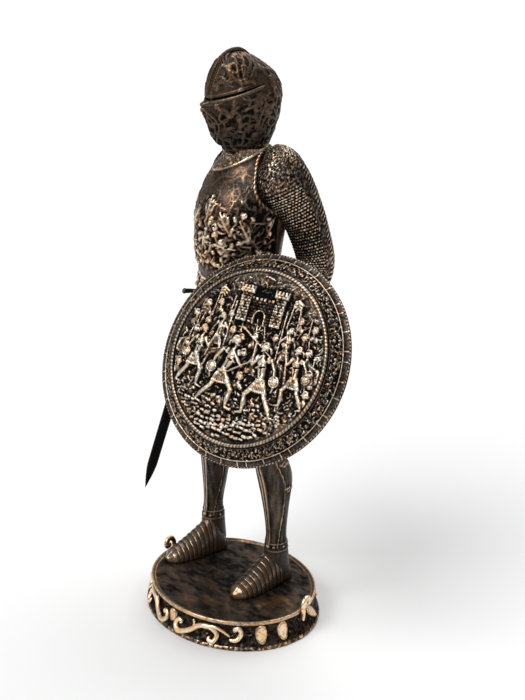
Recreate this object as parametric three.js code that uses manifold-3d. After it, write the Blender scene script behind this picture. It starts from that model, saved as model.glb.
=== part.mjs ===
// A statuette of a knight in full armour on an oval plinth, with a round shield and a drawn sword.
// Millimetres. +X is the knight's left, -Y is in front, +Z is up. The origin is under the plinth's middle.
import * as THREE from "three";
import { mergeVertices } from "three/addons/utils/BufferGeometryUtils.js";
import Module from "manifold-3d";

const wasm = await Module();
wasm.setup();

// Clearance between pieces that touch.
const clearance = 0.3;

// Plinth.
const plinthHalfWidth = 57.3;
const plinthHalfDepth = 49;
const plinthHeight = 17.4;
const rimWidth = 2;
const rimRise = 1;
const wallHollow = 2.6;
const footFlare = 3;
const footEdgeHeight = 2.6;
const ornamentRise = 2.6;

// Figure. Its pose and carving are tables for a knight of the sculpted height.
const figureHeight = 332.5;
const sculptedHeight = 332.5;
const bodyX = -11;
const bodyY = 16;
const headTurn = -15;
const headNod = 5;
const ropeEdge = 1;
const combThickness = 3.4;

// Shield.
const shieldRadius = 61.7;
const shieldWall = 3;
const fieldRadius = 49.5;
const fieldHeight = 7.8;
const rimHeight = 1.2;
const reliefRise = 2;
const shieldTurn = 11.6;
const shieldTilt = 28.2;
const strapRadius = 2.2;
const strapSpan = 34;

// Sword.
const bladeLength = 130;
const bladeWidth = 9.6;
const bladeThickness = 2.4;
const pointLength = 17;
const gripRadius = 2.7;
const gripLength = 20.6;
const guardSpan = 34;
const guardThickness = 3.4;
const pommelRadius = 3.6;
const swordLean = 22.2;

const radians = THREE.MathUtils.degToRad;
const vector = (x, y, z) => new THREE.Vector3(x, y, z);
const up = vector(0, 0, 1);
const ahead = vector(0, -1, 0);

// Solids from three.js geometry, and back.
function solid(geometry) {
  const bare = geometry.index ? geometry.toNonIndexed() : geometry.clone();
  bare.deleteAttribute("normal");
  bare.deleteAttribute("uv");
  const merged = mergeVertices(bare, 1e-4);
  const corners = new Uint32Array(merged.index.array);
  const make = () =>
    new wasm.Manifold(
      new wasm.Mesh({
        numProp: 3,
        vertProperties: new Float32Array(merged.attributes.position.array),
        triVerts: corners,
      }),
    );
  const made = make();
  if (made.volume() >= 0) return made;
  for (let i = 0; i < corners.length; i += 3) {
    [corners[i + 1], corners[i + 2]] = [corners[i + 2], corners[i + 1]];
  }
  return make();
}

function join(...solids) {
  return solids.flat().reduce((whole, piece) => whole.add(piece));
}

function mesh(name, shape, material) {
  const { vertProperties, triVerts } = shape.getMesh();
  const geometry = new THREE.BufferGeometry();
  geometry.setAttribute("position", new THREE.BufferAttribute(vertProperties, 3));
  geometry.setIndex(new THREE.BufferAttribute(triVerts, 1));
  geometry.computeVertexNormals();
  const made = new THREE.Mesh(geometry, material);
  made.name = name;
  return made;
}

// Rows of a table, with smooth rows between them.
function between(rows, i, t) {
  const pick = (k) => rows[Math.min(Math.max(i + k, 0), rows.length - 1)];
  const [a, b, c, d] = [pick(-1), pick(0), pick(1), pick(2)];
  return b.map((start, k) => {
    const slope = (c[k] - a[k]) * t;
    const bend = (2 * a[k] - 5 * start + 4 * c[k] - d[k]) * t * t;
    const turn = (3 * start - a[k] - 3 * c[k] + d[k]) * t ** 3;
    return 0.5 * (2 * start + slope + bend + turn);
  });
}

function smooth(rows, steps) {
  const result = [];
  for (let i = 0; i < rows.length - 1; i++) {
    for (let j = 0; j < steps; j++) result.push(between(rows, i, j / steps));
  }
  result.push(rows[rows.length - 1]);
  return result;
}

// One point of a section: an oval whose front and back have their own depth and sharpness.
function onSection(angle, { at, side, front, width, fore, rear, sharp = 2, round = 2 }) {
  const c = Math.cos(angle);
  const s = Math.sin(angle);
  const isFront = s < 0;
  const power = 2 / (isFront ? sharp : round);
  const across = width * Math.sign(c) * Math.abs(c) ** power;
  const along = (isFront ? fore : -rear) * Math.abs(s) ** power;
  return at.clone().addScaledVector(side, across).addScaledVector(front, along);
}

function section(shape, sides) {
  const points = [];
  for (let i = 0; i < sides; i++) points.push(onSection((2 * Math.PI * i) / sides, shape));
  return points;
}

// The closed skin over a row of rings. A looped row joins its last ring to its first.
function skin(rings, looped = false) {
  const sides = rings[0].length;
  const points = rings.flat();
  const faces = [];
  const spans = looped ? rings.length : rings.length - 1;
  for (let i = 0; i < spans; i++) {
    const next = (i + 1) % rings.length;
    for (let j = 0; j < sides; j++) {
      const k = (j + 1) % sides;
      const [a, b, c, d] = [i * sides + j, i * sides + k, next * sides + k, next * sides + j];
      faces.push(a, b, c, a, c, d);
    }
  }
  if (!looped) {
    [0, rings.length - 1].forEach((r, end) => {
      const middle = vector(0, 0, 0);
      rings[r].forEach((p) => middle.addScaledVector(p, 1 / sides));
      const hub = points.push(middle) - 1;
      for (let j = 0; j < sides; j++) {
        const k = (j + 1) % sides;
        const pair = [r * sides + j, r * sides + k];
        faces.push(hub, pair[1 - end], pair[end]);
      }
    });
  }
  const geometry = new THREE.BufferGeometry().setFromPoints(points);
  geometry.setIndex(faces);
  return solid(geometry);
}

// A limb along a bent line: rows of x, y, z, half width, depth in front and depth behind.
function limb(rows, { sides = 12, steps = 2, front = ahead } = {}) {
  const fine = smooth(rows, steps);
  const centres = fine.map(([x, y, z]) => vector(x, y, z));
  const rings = fine.map(([, , , width, fore, rear], i) => {
    const before = centres[Math.max(i - 1, 0)];
    const after = centres[Math.min(i + 1, fine.length - 1)];
    const run = after.clone().sub(before).normalize();
    const side = front.clone().cross(run).normalize();
    const forward = run.clone().cross(side).normalize();
    return section({ at: centres[i], side, front: forward, width, fore, rear }, sides);
  });
  return skin(rings);
}

// A round cord along points.
function cord(points, radius, { sides = 6, looped = false, taper = () => 1 } = {}) {
  const count = points.length;
  let across = null;
  const rings = points.map((point, i) => {
    const before = looped ? points[(i + count - 1) % count] : points[Math.max(i - 1, 0)];
    const after = looped ? points[(i + 1) % count] : points[Math.min(i + 1, count - 1)];
    const run = after.clone().sub(before).normalize();
    if (!across) across = Math.abs(run.z) < 0.9 ? up.clone() : ahead.clone();
    const side = across.clone().cross(run).normalize();
    const front = run.clone().cross(side).normalize();
    across = front.clone();
    const size = radius * taper(i / (count - 1));
    return section({ at: point, side, front, width: size, fore: size, rear: size }, sides);
  });
  return skin(rings, looped);
}

function ball(at, [x, y, z], turn = new THREE.Euler(), detail = 1) {
  const geometry = new THREE.IcosahedronGeometry(1, detail);
  const place = new THREE.Matrix4().compose(
    at,
    new THREE.Quaternion().setFromEuler(turn),
    vector(x, y, z),
  );
  return solid(geometry.applyMatrix4(place));
}

// A straight bar between two points, with a rectangular section.
function bar(from, to, width, depth, flat = ahead) {
  const run = to.clone().sub(from);
  const length = run.length();
  run.normalize();
  const side = flat.clone().cross(run).normalize();
  const front = run.clone().cross(side);
  const geometry = new THREE.BoxGeometry(width, depth, length);
  const place = new THREE.Matrix4().makeBasis(side, front, run);
  place.setPosition(from.clone().add(to).multiplyScalar(0.5));
  return solid(geometry.applyMatrix4(place));
}

// Half of space beyond a plane, as a block.
function beyond(point, normal) {
  const size = 400;
  const geometry = new THREE.BoxGeometry(size, size, size).translate(0, 0, size / 2);
  const turn = new THREE.Quaternion().setFromUnitVectors(up, normal.clone().normalize());
  geometry.applyQuaternion(turn).translate(point.x, point.y, point.z);
  return solid(geometry);
}

// A standing form with level sections: rows of height, half width, depth in front, depth behind,
// sharpness of the front, sharpness of the back, and how far the middle lies back.
class Column {
  constructor(rows, sides, steps) {
    this.rows = rows;
    this.sides = sides;
    this.steps = steps;
  }
  shape([height, width, fore, rear, sharp, round, back], swell = 0) {
    return {
      at: vector(0, back, height),
      side: vector(1, 0, 0),
      front: ahead,
      width: width + swell,
      fore: fore + swell,
      rear: rear + swell,
      sharp,
      round,
    };
  }
  rowAt(height) {
    const found = this.rows.findIndex((row) => row[0] > height);
    const top = found < 0 ? this.rows.length - 1 : Math.max(found, 1);
    let [low, high] = [0, 1];
    for (let k = 0; k < 24; k++) {
      const middle = (low + high) / 2;
      if (between(this.rows, top - 1, middle)[0] < height) low = middle;
      else high = middle;
    }
    return between(this.rows, top - 1, low);
  }
  surface(angle, height, swell = 0) {
    return onSection(angle, this.shape(this.rowAt(height), swell));
  }
  solid(swell = 0) {
    const fine = smooth(this.rows, this.steps);
    return skin(fine.map((row) => section(this.shape(row, swell), this.sides)));
  }
  // The line on the form below which above(point) is negative.
  edge(above, swell, count, from = 0, to = 360) {
    const bottom = this.rows[0][0];
    const top = this.rows[this.rows.length - 1][0];
    const line = [];
    const closed = to - from >= 360;
    for (let i = 0; i < count; i++) {
      const angle = radians(from + ((to - from) * i) / (closed ? count : count - 1));
      let [low, high] = [bottom, top];
      for (let k = 0; k < 24; k++) {
        const middle = (low + high) / 2;
        if (above(this.surface(angle, middle, swell)) < 0) low = middle;
        else high = middle;
      }
      line.push(this.surface(angle, (low + high) / 2, swell));
    }
    return line;
  }
}

// A carved leaf laid on a column: its lean turns it from upright in the surface.
function leaf(column, degrees, height, { length, width, rise, lean }) {
  const angle = radians(degrees);
  const at = column.surface(angle, height);
  const across = column.surface(angle + 0.05, height).sub(at).normalize();
  const along = column.surface(angle, height + 1).sub(at).normalize();
  const out = across.clone().cross(along).normalize();
  const turned = along.clone().applyAxisAngle(out, radians(lean));
  const side = turned.clone().cross(out);
  const placed = new THREE.Matrix4().makeBasis(side, turned, out).setPosition(at);
  const geometry = new THREE.IcosahedronGeometry(1, 0).scale(width / 2, length / 2, rise);
  return solid(geometry.applyMatrix4(placed));
}

// Plinth.
const ovalPoint = (angle, grow, z) =>
  vector(
    (plinthHalfWidth + grow) * Math.cos(angle),
    (plinthHalfDepth + grow) * Math.sin(angle),
    z,
  );

// How far the wall stands out from the rim at a height.
function wallOut(z) {
  const share = THREE.MathUtils.clamp((z - footEdgeHeight) / (plinthHeight - footEdgeHeight), 0, 1);
  return footFlare * (1 - share) ** 1.6 * 0.75 - wallHollow * Math.sin(Math.PI * share) ** 0.8;
}

function plinthBody() {
  const sides = 32;
  const profile = [
    [footFlare, 0],
    [footFlare, footEdgeHeight - 0.6],
    [wallOut(footEdgeHeight), footEdgeHeight],
    [wallOut(plinthHeight * 0.5), plinthHeight * 0.5],
    [wallOut(plinthHeight - 2), plinthHeight - 2],
    [0, plinthHeight - 1],
    [-0.2, plinthHeight + rimRise],
    [-rimWidth + 0.3, plinthHeight + rimRise],
    [-rimWidth, plinthHeight],
  ];
  const rings = profile.map(([grow, z]) => {
    const points = [];
    for (let i = 0; i < sides; i++) points.push(ovalPoint((2 * Math.PI * i) / sides, grow, z));
    return points;
  });
  return skin(rings);
}

// A point on the plinth's wall: degrees round the oval and height, lifted by a rise.
function onWall(degrees, z, rise) {
  return ovalPoint(radians(degrees), Math.max(wallOut(z), -rimWidth) + rise, z);
}

const wallScale = 52;
const wallDegrees = (length) => (length / wallScale) * (180 / Math.PI);

// A strand of the wall's scrollwork: millimetres along the wall from a place, and heights.
function strand(degrees, line, thickness, { handed = 1, out = ornamentRise * 0.5, sides = 4 } = {}) {
  const points = line.map(([along, z]) => {
    const stand = z > plinthHeight - 1 ? Math.min(out, 1) - wallOut(z) : out;
    return onWall(degrees + wallDegrees(handed * along), z, stand);
  });
  const taper = (t) => 0.6 + 0.5 * Math.sin(Math.PI * (0.1 + 0.8 * t));
  return cord(points, thickness, { sides, taper });
}

// The scrollwork beside a boss: a long scroll curled at both ends, then a branch and two hooks.
const longScroll = [
  [-6.6, 8.8],
  [-9.4, 9.8],
  [-11, 6.4],
  [-7.6, 3.4],
  [-1, 6.4],
  [5.5, 11.2],
  [12, 12],
  [16.6, 8.4],
  [15, 3.8],
  [12, 5.4],
];
const branch = [[6, 10.6], [13, 13], [19, 11.4], [24.5, 8]];
const endHook = [[24, 6.4], [28.4, 6.4], [31.2, 10], [30, 14], [27.4, 13.6]];
const smallHook = [[-2.4, 4.6], [1.4, 9.4], [1.6, 14.6]];

function scrollwork(degrees, handed, whole) {
  const strands = [strand(degrees, longScroll, 2, { handed })];
  if (!whole) return strands;
  return [
    ...strands,
    strand(degrees, endHook, 1.9, { handed }),
    strand(degrees, branch, 1.3, { handed, sides: 3 }),
    strand(degrees, smallHook, 1.1, { handed, sides: 3 }),
  ];
}

// An oval boss that stands out from the wall, upright or leaning along it.
function boss(degrees, z, halfWidth, halfHeight, lean = 0) {
  const c = Math.cos(radians(lean));
  const s = Math.sin(radians(lean));
  const rings = [[1, -1.5], [0.95, 0.3], [0.5, ornamentRise]].map(([share, rise]) => {
    const points = [];
    for (let i = 0; i < 8; i++) {
      const angle = (2 * Math.PI * i) / 8;
      const x = halfWidth * share * Math.cos(angle);
      const y = halfHeight * share * Math.sin(angle);
      points.push(onWall(degrees + wallDegrees(c * x - s * y), z + s * x + c * y, rise));
    }
    return points;
  });
  return skin(rings);
}

// The swan's neck that rises over the rim and curls down to a leaf.
const swanNeck = [
  [-2.7, 10.5],
  [-3.4, 14.5],
  [-4.6, 18.5],
  [-4, 22.4],
  [-1.2, 24.9],
  [2.4, 24.6],
  [4.6, 21.6],
  [3.4, 18.6],
];

function swan(degrees) {
  return [
    strand(degrees, swanNeck, 2.2, { out: 2 }),
    boss(degrees + wallDegrees(8), 11.4, 2.6, 8.6, -42),
  ];
}

function plinth() {
  const pieces = [plinthBody()];
  for (const degrees of [333.2, 349.5, 153.2, 169.5]) pieces.push(boss(degrees, 9.8, 3.8, 6));
  for (const degrees of [268.5, 88.5]) pieces.push(boss(degrees, 10.3, 3.2, 4));
  for (const degrees of [285, 105]) pieces.push(...scrollwork(degrees, 1, degrees > 180));
  for (const degrees of [252, 72]) pieces.push(...scrollwork(degrees, -1, degrees > 180));
  for (const degrees of [12, 187]) pieces.push(...swan(degrees));
  return join(pieces).subtract(beyond(vector(0, 0, 0), up.clone().negate()));
}

// Torso: the breastplate with its peascod belly, over the hips.
const torso = new Column(
  [
    [186, 24, 21, 17, 2, 2, 0],
    [198, 24, 26, 16.5, 1.9, 2, 0],
    [212, 27, 30.5, 17, 1.8, 2, 0],
    [230, 29, 29.5, 18.5, 1.85, 2.2, 0],
    [246, 29.5, 26, 20, 2, 2.3, 1],
    [260, 23.6, 19, 19, 2, 2.3, 2.5],
    [269, 16.6, 14.5, 15, 2, 2.2, 3],
    [276, 14, 12.5, 12, 2, 2, 2.5],
    [285, 12, 11, 10, 2, 2, 1],
  ],
  16,
  1,
);

// The gorget's bib lies above a slope down the chest, turned as the head is, and one down the back.
const bibFront = { point: vector(-7, -14, 262.5), normal: vector(-0.25, -0.41, 0.88) };
const bibBack = { point: vector(0, 16, 270), normal: vector(0, 0.5, 0.87) };
const aboveBib = (p) =>
  Math.max(...[bibFront, bibBack].map(({ point, normal }) => p.clone().sub(point).dot(normal)));

function gorgetEdge() {
  return cord(torso.edge(aboveBib, 0, 16), ropeEdge * 1.1, { sides: 4, looped: true });
}

// The breastplate's leaves, fanned about a rosette.
function breastLeaves() {
  const rosette = { length: 8, width: 8, rise: 2, lean: 0 };
  const leaves = [leaf(torso, 270, 226, rosette)];
  for (const [turn, height, lean] of [[24, 236, -35], [28, 222, -80], [0, 243, 0], [48, 232, -30]]) {
    for (const hand of turn ? [1, -1] : [1]) {
      const size = { length: 15, width: 6, rise: 1.9, lean: hand * lean };
      leaves.push(leaf(torso, 270 + hand * turn, height, size));
    }
  }
  return leaves;
}

// The mail skirt under three plates of the fauld.
const skirt = new Column(
  [
    [139, 32, 26, 25, 2.2, 2.2, 0],
    [150, 32.5, 26.5, 25.5, 2.2, 2.2, 0],
    [165, 31.5, 25.5, 24, 2.2, 2.2, 0],
    [180, 28, 23.5, 21, 2.1, 2.1, 0],
    [192, 24.5, 21.5, 18, 2, 2, 0],
    [200, 22, 20, 16, 2, 2, 0],
  ],
  14,
  1,
);

function fauld() {
  const lames = [];
  for (let i = 0; i < 2; i++) {
    const low = 168 + 12.5 * i;
    const rows = [
      [low, 2.2],
      [low + 1.4, 2.4],
      [low + 13, 0.3],
    ].map(([height, swell]) => {
      const row = skirt.rowAt(height);
      return [height, row[1] + swell, row[2] + swell, row[3] + swell, row[4], row[5], 0];
    });
    lames.push(new Column(rows, 14, 1).solid());
  }
  return lames;
}

// A tasset: the curved plate that hangs from the fauld over each thigh.
function tasset(hand) {
  const rows = [];
  const count = 5;
  for (let i = 0; i < count; i++) {
    const share = i / (count - 1);
    const half = 10.5 * Math.sqrt(1 - (0.9 * share) ** 4);
    rows.push([hand * (16 - 1.5 * share), -24.5 - 1.2 * share, 172 - 36 * share, half, 2.4, 3]);
  }
  return limb(rows, { sides: 8, steps: 1 });
}

// Legs: greave, knee cop and cuisse, from the hip down.
const leftLeg = [
  [15, 1, 165, 14.5, 15, 15],
  [19, 1, 135, 14, 14, 14],
  [22, 0.3, 108, 11, 11.8, 11],
  [23.5, 0.2, 95, 10.4, 12, 10.6],
  [24.7, 1.6, 84, 9.6, 10.4, 10.8],
  [26.3, 4, 70, 10.8, 9.6, 12.6],
  [27.9, 4.6, 52, 8.2, 8, 8.8],
  [28.9, 4.4, 34, 6.5, 6.4, 6.8],
  [29.1, 4.6, 22, 7.2, 7.8, 8.2],
  [29.1, 5, 6, 7.6, 9.6, 9.8],
];
const rightLeg = [
  [-15, 1, 165, 14.5, 15, 15],
  [-19, 0.5, 135, 14, 14, 14],
  [-22.5, -1.2, 108, 11, 11.8, 11],
  [-24.4, -1.8, 95, 10.4, 12, 10.6],
  [-26.1, -0.6, 84, 9.6, 10.4, 10.8],
  [-27.3, 1.8, 72, 10, 9.6, 11.2],
  [-29.5, 3.4, 52, 8, 8, 8.6],
  [-31, 3.6, 34, 6.4, 6.4, 6.7],
  [-30.9, 3.4, 22, 7.2, 7.8, 8.2],
  [-30.8, 3.4, 6, 7.6, 9.6, 9.8],
];

function kneeCop(rows, hand) {
  const [x, y, z] = rows[3];
  const cop = ball(vector(x, y - 4, z + 1), [11, 11, 10]);
  const wing = ball(vector(x + hand * 10.5, y + 1, z + 1), [3, 7.5, 8.5], new THREE.Euler(), 0);
  return [cop, wing];
}

// A sabaton: lames from the ankle to a rounded point, over a flat sole.
function sabaton(heel, toe) {
  const run = toe.clone().sub(heel);
  const length = run.length();
  run.normalize();
  const side = run.clone().cross(up).normalize();
  const rows = [
    [0, 5, 7],
    [0.07, 7.6, 12],
    [0.24, 8.4, 23.5],
    [0.36, 8.8, 20.5],
    [0.5, 9.4, 16],
    [0.66, 9.3, 11.4],
    [0.8, 8.4, 8.4],
    [0.92, 6.4, 6],
    [1, 2.2, 2.6],
  ];
  const lames = 7;
  const lameStart = 0.24;
  const lap = 0.55;
  const at = (share) => {
    const i = rows.findIndex((row) => row[0] > share);
    if (i < 0) return rows[rows.length - 1];
    const t = (share - rows[i - 1][0]) / (rows[i][0] - rows[i - 1][0]);
    return between(rows, i - 1, t);
  };
  const stations = [0, 0.07, 0.2].map((share) => [share, 0]);
  for (let i = 0; i < lames; i++) {
    const low = lameStart + ((0.9 - lameStart) * i) / lames;
    const high = lameStart + ((0.9 - lameStart) * (i + 1)) / lames;
    stations.push([low, -lap * 0.4], [high - 0.006, lap]);
  }
  stations.push([0.985, 0], [1, 0]);
  const arc = 6;
  const rings = stations.map(([share, swell]) => {
    const [, width, height] = at(share);
    const middle = heel.clone().addScaledVector(run, length * share);
    const points = [];
    for (let i = 0; i < arc; i++) {
      const angle = (Math.PI * i) / (arc - 1);
      const rise = (height + swell) * Math.sin(angle) ** 0.85;
      const across = (width + swell) * Math.cos(angle);
      points.push(middle.clone().addScaledVector(side, across).addScaledVector(up, rise));
    }
    return points;
  });
  return skin(rings);
}

// Arms: from the shoulder to the wrist.
const leftFist = vector(54.7, -33.1, 170.4);
const leftArm = [
  [19, 3, 276.8, 4, 4, 4],
  [22, 4, 273.4, 9, 10, 9],
  [24.4, 5.2, 268.6, 12.4, 15, 12.6],
  [27.2, 7.2, 260, 14.3, 18, 14.5],
  [30.4, 11, 250, 14.4, 16.5, 14.4],
  [35, 15.2, 237.5, 13, 13, 13],
  [38.4, 18.6, 224.5, 11.9, 11.9, 11.9],
  [40.4, 20.6, 213, 11.5, 11.5, 11.5],
  [41.4, 19, 204, 11, 11, 10.4],
  [42.2, 11, 197.5, 10.2, 10.2, 9.8],
  [45.5, -5, 188, 8.8, 8.8, 8.6],
  [50.5, -19, 179.5, 7.2, 7.2, 7],
  [53.4, -28, 174, 6.6, 6.6, 6.4],
];
const rightFist = vector(-42.6, 9, 185.3);
const rightArm = [
  [-17, 9, 270.4, 4, 4, 4],
  [-19.5, 10.5, 267, 8.4, 8.4, 8.4],
  [-22.5, 12, 261, 11.6, 11.6, 11.6],
  [-28.5, 15.5, 252.5, 13.4, 13.4, 13.4],
  [-37, 21, 244, 13, 13, 13],
  [-48, 29, 235, 12, 12, 12],
  [-57, 34.5, 227, 11.3, 11.3, 11.3],
  [-60.5, 35, 218, 10.8, 10.8, 10.8],
  [-59.5, 30, 208.5, 9.4, 9.4, 9.4],
  [-56, 23.5, 199, 7.8, 7.8, 7.8],
  [-51, 16.5, 191.5, 6.8, 6.8, 6.8],
  [-46.5, 11.5, 186.5, 5.8, 5.8, 5.8],
];

// A closed gauntlet: four finger plates round a grip, and a thumb.
function fist(at, axis, towardArm) {
  const fingers = 4;
  const pitch = 3.9;
  const reach = 8;
  const side = axis.clone().cross(towardArm).normalize();
  const front = side.clone().cross(axis).normalize();
  const rings = [];
  const sides = 6;
  const ends = (fingers * pitch) / 2;
  const put = (shift, size) => {
    const centre = at.clone().addScaledVector(axis, shift).addScaledVector(front, 0.8);
    const shape = { at: centre, side, front, width: size * 0.92, fore: size, rear: size * 0.9 };
    rings.push(section({ ...shape, sharp: 2.6, round: 2.6 }, sides));
  };
  put(-ends - 0.8, reach * 0.6);
  for (let i = 0; i < fingers; i++) {
    const low = -ends + i * pitch;
    put(low + 0.2, reach * 0.9);
    put(low + pitch / 2, reach);
  }
  put(ends - 0.2, reach * 0.9);
  put(ends + 0.8, reach * 0.6);
  return skin(rings);
}

function cuff(from, to) {
  const along = (share) => from.clone().lerp(to, share);
  const rows = [[0, 10.4], [0.12, 10.7], [0.75, 7.4], [1, 6.8]];
  const table = rows.map(([share, size]) => [...along(share).toArray(), size, size, size]);
  return limb(table, { sides: 8, steps: 1 });
}

// The helmet: skull and pointed visor, in the head's own frame with its origin at the neck.
const helmet = new Column(
  [
    [-4, 11, 11, 11, 2, 2, 0],
    [2, 12.8, 15.2, 12.8, 1.8, 2, 0],
    [9, 16.6, 20.4, 16, 1.6, 2, 0],
    [18, 19, 24.2, 19, 1.5, 2.1, 0.4],
    [27.6, 20, 27.4, 21, 1.42, 2.1, 0.8],
    [29.6, 20.1, 24.2, 21.2, 1.6, 2.1, 0.9],
    [36, 20, 23.4, 20.6, 1.7, 2.1, 1],
    [43, 18, 20.4, 16.6, 1.8, 2.1, 0.8],
    [49, 14, 16.4, 10, 1.9, 2.1, 0.2],
    [53.4, 8.4, 11.5, 5, 2, 2, -1],
    [55.4, 3, 6, 1.8, 2, 2, -2],
  ],
  18,
  1,
);

const visorPoint = vector(0, -26, 28.4);
const visorNormal = vector(0, -0.3, 1).normalize();
const sightGap = 3.4;
const aboveVisor = (p) => p.clone().sub(visorPoint).dot(visorNormal);

function comb() {
  const outline = new THREE.Shape();
  outline.moveTo(23.6, 33);
  outline.bezierCurveTo(20.5, 48, 13, 58, 2, 58);
  outline.bezierCurveTo(-5, 57.6, -10, 47, -17, 36);
  outline.bezierCurveTo(-10, 40, -6, 44, 2, 44);
  outline.bezierCurveTo(8, 44, 13, 40, 16, 34);
  const geometry = new THREE.ExtrudeGeometry(outline, {
    depth: combThickness - 2,
    steps: 1,
    curveSegments: 3,
    bevelThickness: 1,
    bevelSize: 1,
    bevelSegments: 1,
    bevelOffset: -1,
  });
  geometry.translate(0, 0, 1 - combThickness / 2);
  const place = new THREE.Matrix4().makeBasis(ahead, up, vector(-1, 0, 0));
  return solid(geometry.applyMatrix4(place));
}

function head() {
  const ridge = (shift, radius, from, to, count) => {
    const above = (p) => aboveVisor(p) - shift;
    return cord(helmet.edge(above, 0.3, count, from, to), radius, { sides: 4 });
  };
  const ridges = [ridge(0, ropeEdge, 175, 365, 11), ridge(sightGap, ropeEdge * 0.7, 200, 340, 7)];
  return join(helmet.solid(), ridges, comb());
}

function place(shape, matrix) {
  return shape.transform(matrix.elements);
}

const swordDown = vector(0, -Math.sin(radians(swordLean)), -Math.cos(radians(swordLean)));
const shieldNormal = vector(
  Math.sin(radians(shieldTurn)) * Math.cos(radians(shieldTilt)),
  -Math.cos(radians(shieldTurn)) * Math.cos(radians(shieldTilt)),
  Math.sin(radians(shieldTilt)),
);
const shieldRight = vector(Math.cos(radians(shieldTurn)), Math.sin(radians(shieldTurn)), 0);
const shieldUp = shieldNormal.clone().cross(shieldRight);

const bodyFrame = new THREE.Matrix4()
  .makeTranslation(bodyX, bodyY, plinthHeight + clearance)
  .multiply(new THREE.Matrix4().makeScale(
    figureHeight / sculptedHeight,
    figureHeight / sculptedHeight,
    figureHeight / sculptedHeight,
  ));
const inWorld = (point) => point.clone().applyMatrix4(bodyFrame);

// The raised edge of the breastplate round an arm, laid on the torso. The right arm is drawn back.
const armholeHeight = 258;
const armholeHalf = 19;

function armhole(hand) {
  const count = 11;
  const [middle, reach] = hand > 0 ? [21, 58] : [26, 56];
  const line = [];
  for (let i = 0; i < count; i++) {
    const turn = radians(-125 + (250 * i) / (count - 1));
    const height = armholeHeight - armholeHalf * Math.sin(turn);
    const point = torso.surface(radians(middle - reach * Math.cos(turn)), height, 0.4);
    line.push(vector(hand * point.x, point.y, point.z));
  }
  return cord(line, ropeEdge * 1.3, { sides: 4 });
}

function figure() {
  const skull = new THREE.Matrix4()
    .makeTranslation(0, 1.5, 275)
    .multiply(new THREE.Matrix4().makeRotationZ(radians(headTurn)))
    .multiply(new THREE.Matrix4().makeRotationX(radians(headNod)));
  const pieces = [
    torso.solid(),
    gorgetEdge(),
    breastLeaves(),
    skirt.solid(),
    fauld(),
    tasset(1),
    tasset(-1),
    limb(leftLeg, { sides: 9, steps: 1 }),
    limb(rightLeg, { sides: 9, steps: 1 }),
    kneeCop(leftLeg, 1),
    kneeCop(rightLeg, -1),
    sabaton(vector(28.3, 15.6, 0), vector(28.5, -31.9, 0)),
    sabaton(vector(-27.6, 10.1, 0), vector(-34.8, -34, 0)),
    armhole(1),
    armhole(-1),
    limb(leftArm, { sides: 9, steps: 1 }),
    limb(rightArm, { sides: 9, steps: 1 }),
    fist(leftFist, shieldRight, vector(0, 0.7, 0.7)),
    fist(rightFist, swordDown, vector(-0.5, 0.5, 0.7)),
    cuff(vector(47.2, -10, 185), vector(51.9, -23.5, 176.8)),
    cuff(vector(-58.4, 27.4, 204.6), vector(-52.4, 18.6, 193.8)),
    place(head(), skull),
  ];
  return place(join(pieces.flat()), bodyFrame);
}

// Shield, in its own frame: x to its right, y up its face, z out of its face.
const bandAt = (radius) => (fieldHeight * (shieldRadius - radius)) / (shieldRadius - fieldRadius);
const ropeRise = 1.2;
const ropeHalf = 1.1;
const rimBand = 5;

function shieldBody() {
  const sides = 30;
  const inner = shieldRadius - rimBand;
  const profile = [
    [fieldRadius - ropeHalf, fieldHeight],
    [fieldRadius - ropeHalf * 0.5, fieldHeight + ropeRise],
    [fieldRadius + ropeHalf * 0.5, fieldHeight + ropeRise],
    [fieldRadius + ropeHalf, bandAt(fieldRadius + ropeHalf)],
    [inner, bandAt(inner)],
    [inner + 0.4, bandAt(inner) + rimHeight],
    [shieldRadius - 0.7, bandAt(shieldRadius - 0.7) + rimHeight],
    [shieldRadius, -shieldWall * 0.3],
    [fieldRadius, fieldHeight - shieldWall],
  ];
  const rings = profile.map(([radius, z]) => {
    const points = [];
    for (let i = 0; i < sides; i++) {
      const angle = (2 * Math.PI * i) / sides;
      points.push(vector(radius * Math.cos(angle), radius * Math.sin(angle), z));
    }
    return points;
  });
  return skin(rings);
}

// Relief on the field is made of rounded strokes, sunk half way into it.
function stroke(points, radius, taper, sides = 3) {
  const line = points.map(([x, y]) => vector(x, y, fieldHeight - radius * 0.3));
  return cord(line, radius, { sides, taper });
}

// A soldier of the relief, from the feet at x, y, with a pose of shares of the height.
function soldier(x, y, height, facing, pose) {
  const draw = (line, radius, taper, sides) => {
    const points = line.map(([across, rise]) => [x + facing * across * height, y + rise * height]);
    return stroke(points, radius * height, taper, sides);
  };
  const thinning = (t) => 1.15 - 0.5 * t;
  const waisted = (t) => [0.8, 1.15, 0.6][Math.round(t * 2)];
  const { stride, lean, hand, tip } = pose;
  const butt = [2 * hand[0] - tip[0], 2 * hand[1] - tip[1]];
  const head = vector(x + facing * (lean + 0.02) * height, y + 0.93 * height, fieldHeight);
  return [
    draw([[0, 0.32], [0, 0.5]], 0.13, thinning, 4),
    draw([[0, 0.46], [lean, 0.74], [lean, 0.84]], 0.105, waisted, 4),
    draw([[-0.03, 0.44], [-stride, 0.22], [-stride * 1.5, 0]], 0.075, thinning),
    draw([[0.04, 0.44], [stride, 0.24], [stride * 0.9, 0]], 0.075, thinning),
    draw([[0.06, 0.78], [0.2, 0.68], hand], 0.055, () => 1),
    draw([butt, tip], 0.026, () => 1),
    ball(head, [0.075 * height, 0.085 * height, 0.06 * height], new THREE.Euler(), 0),
  ];
}

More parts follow.
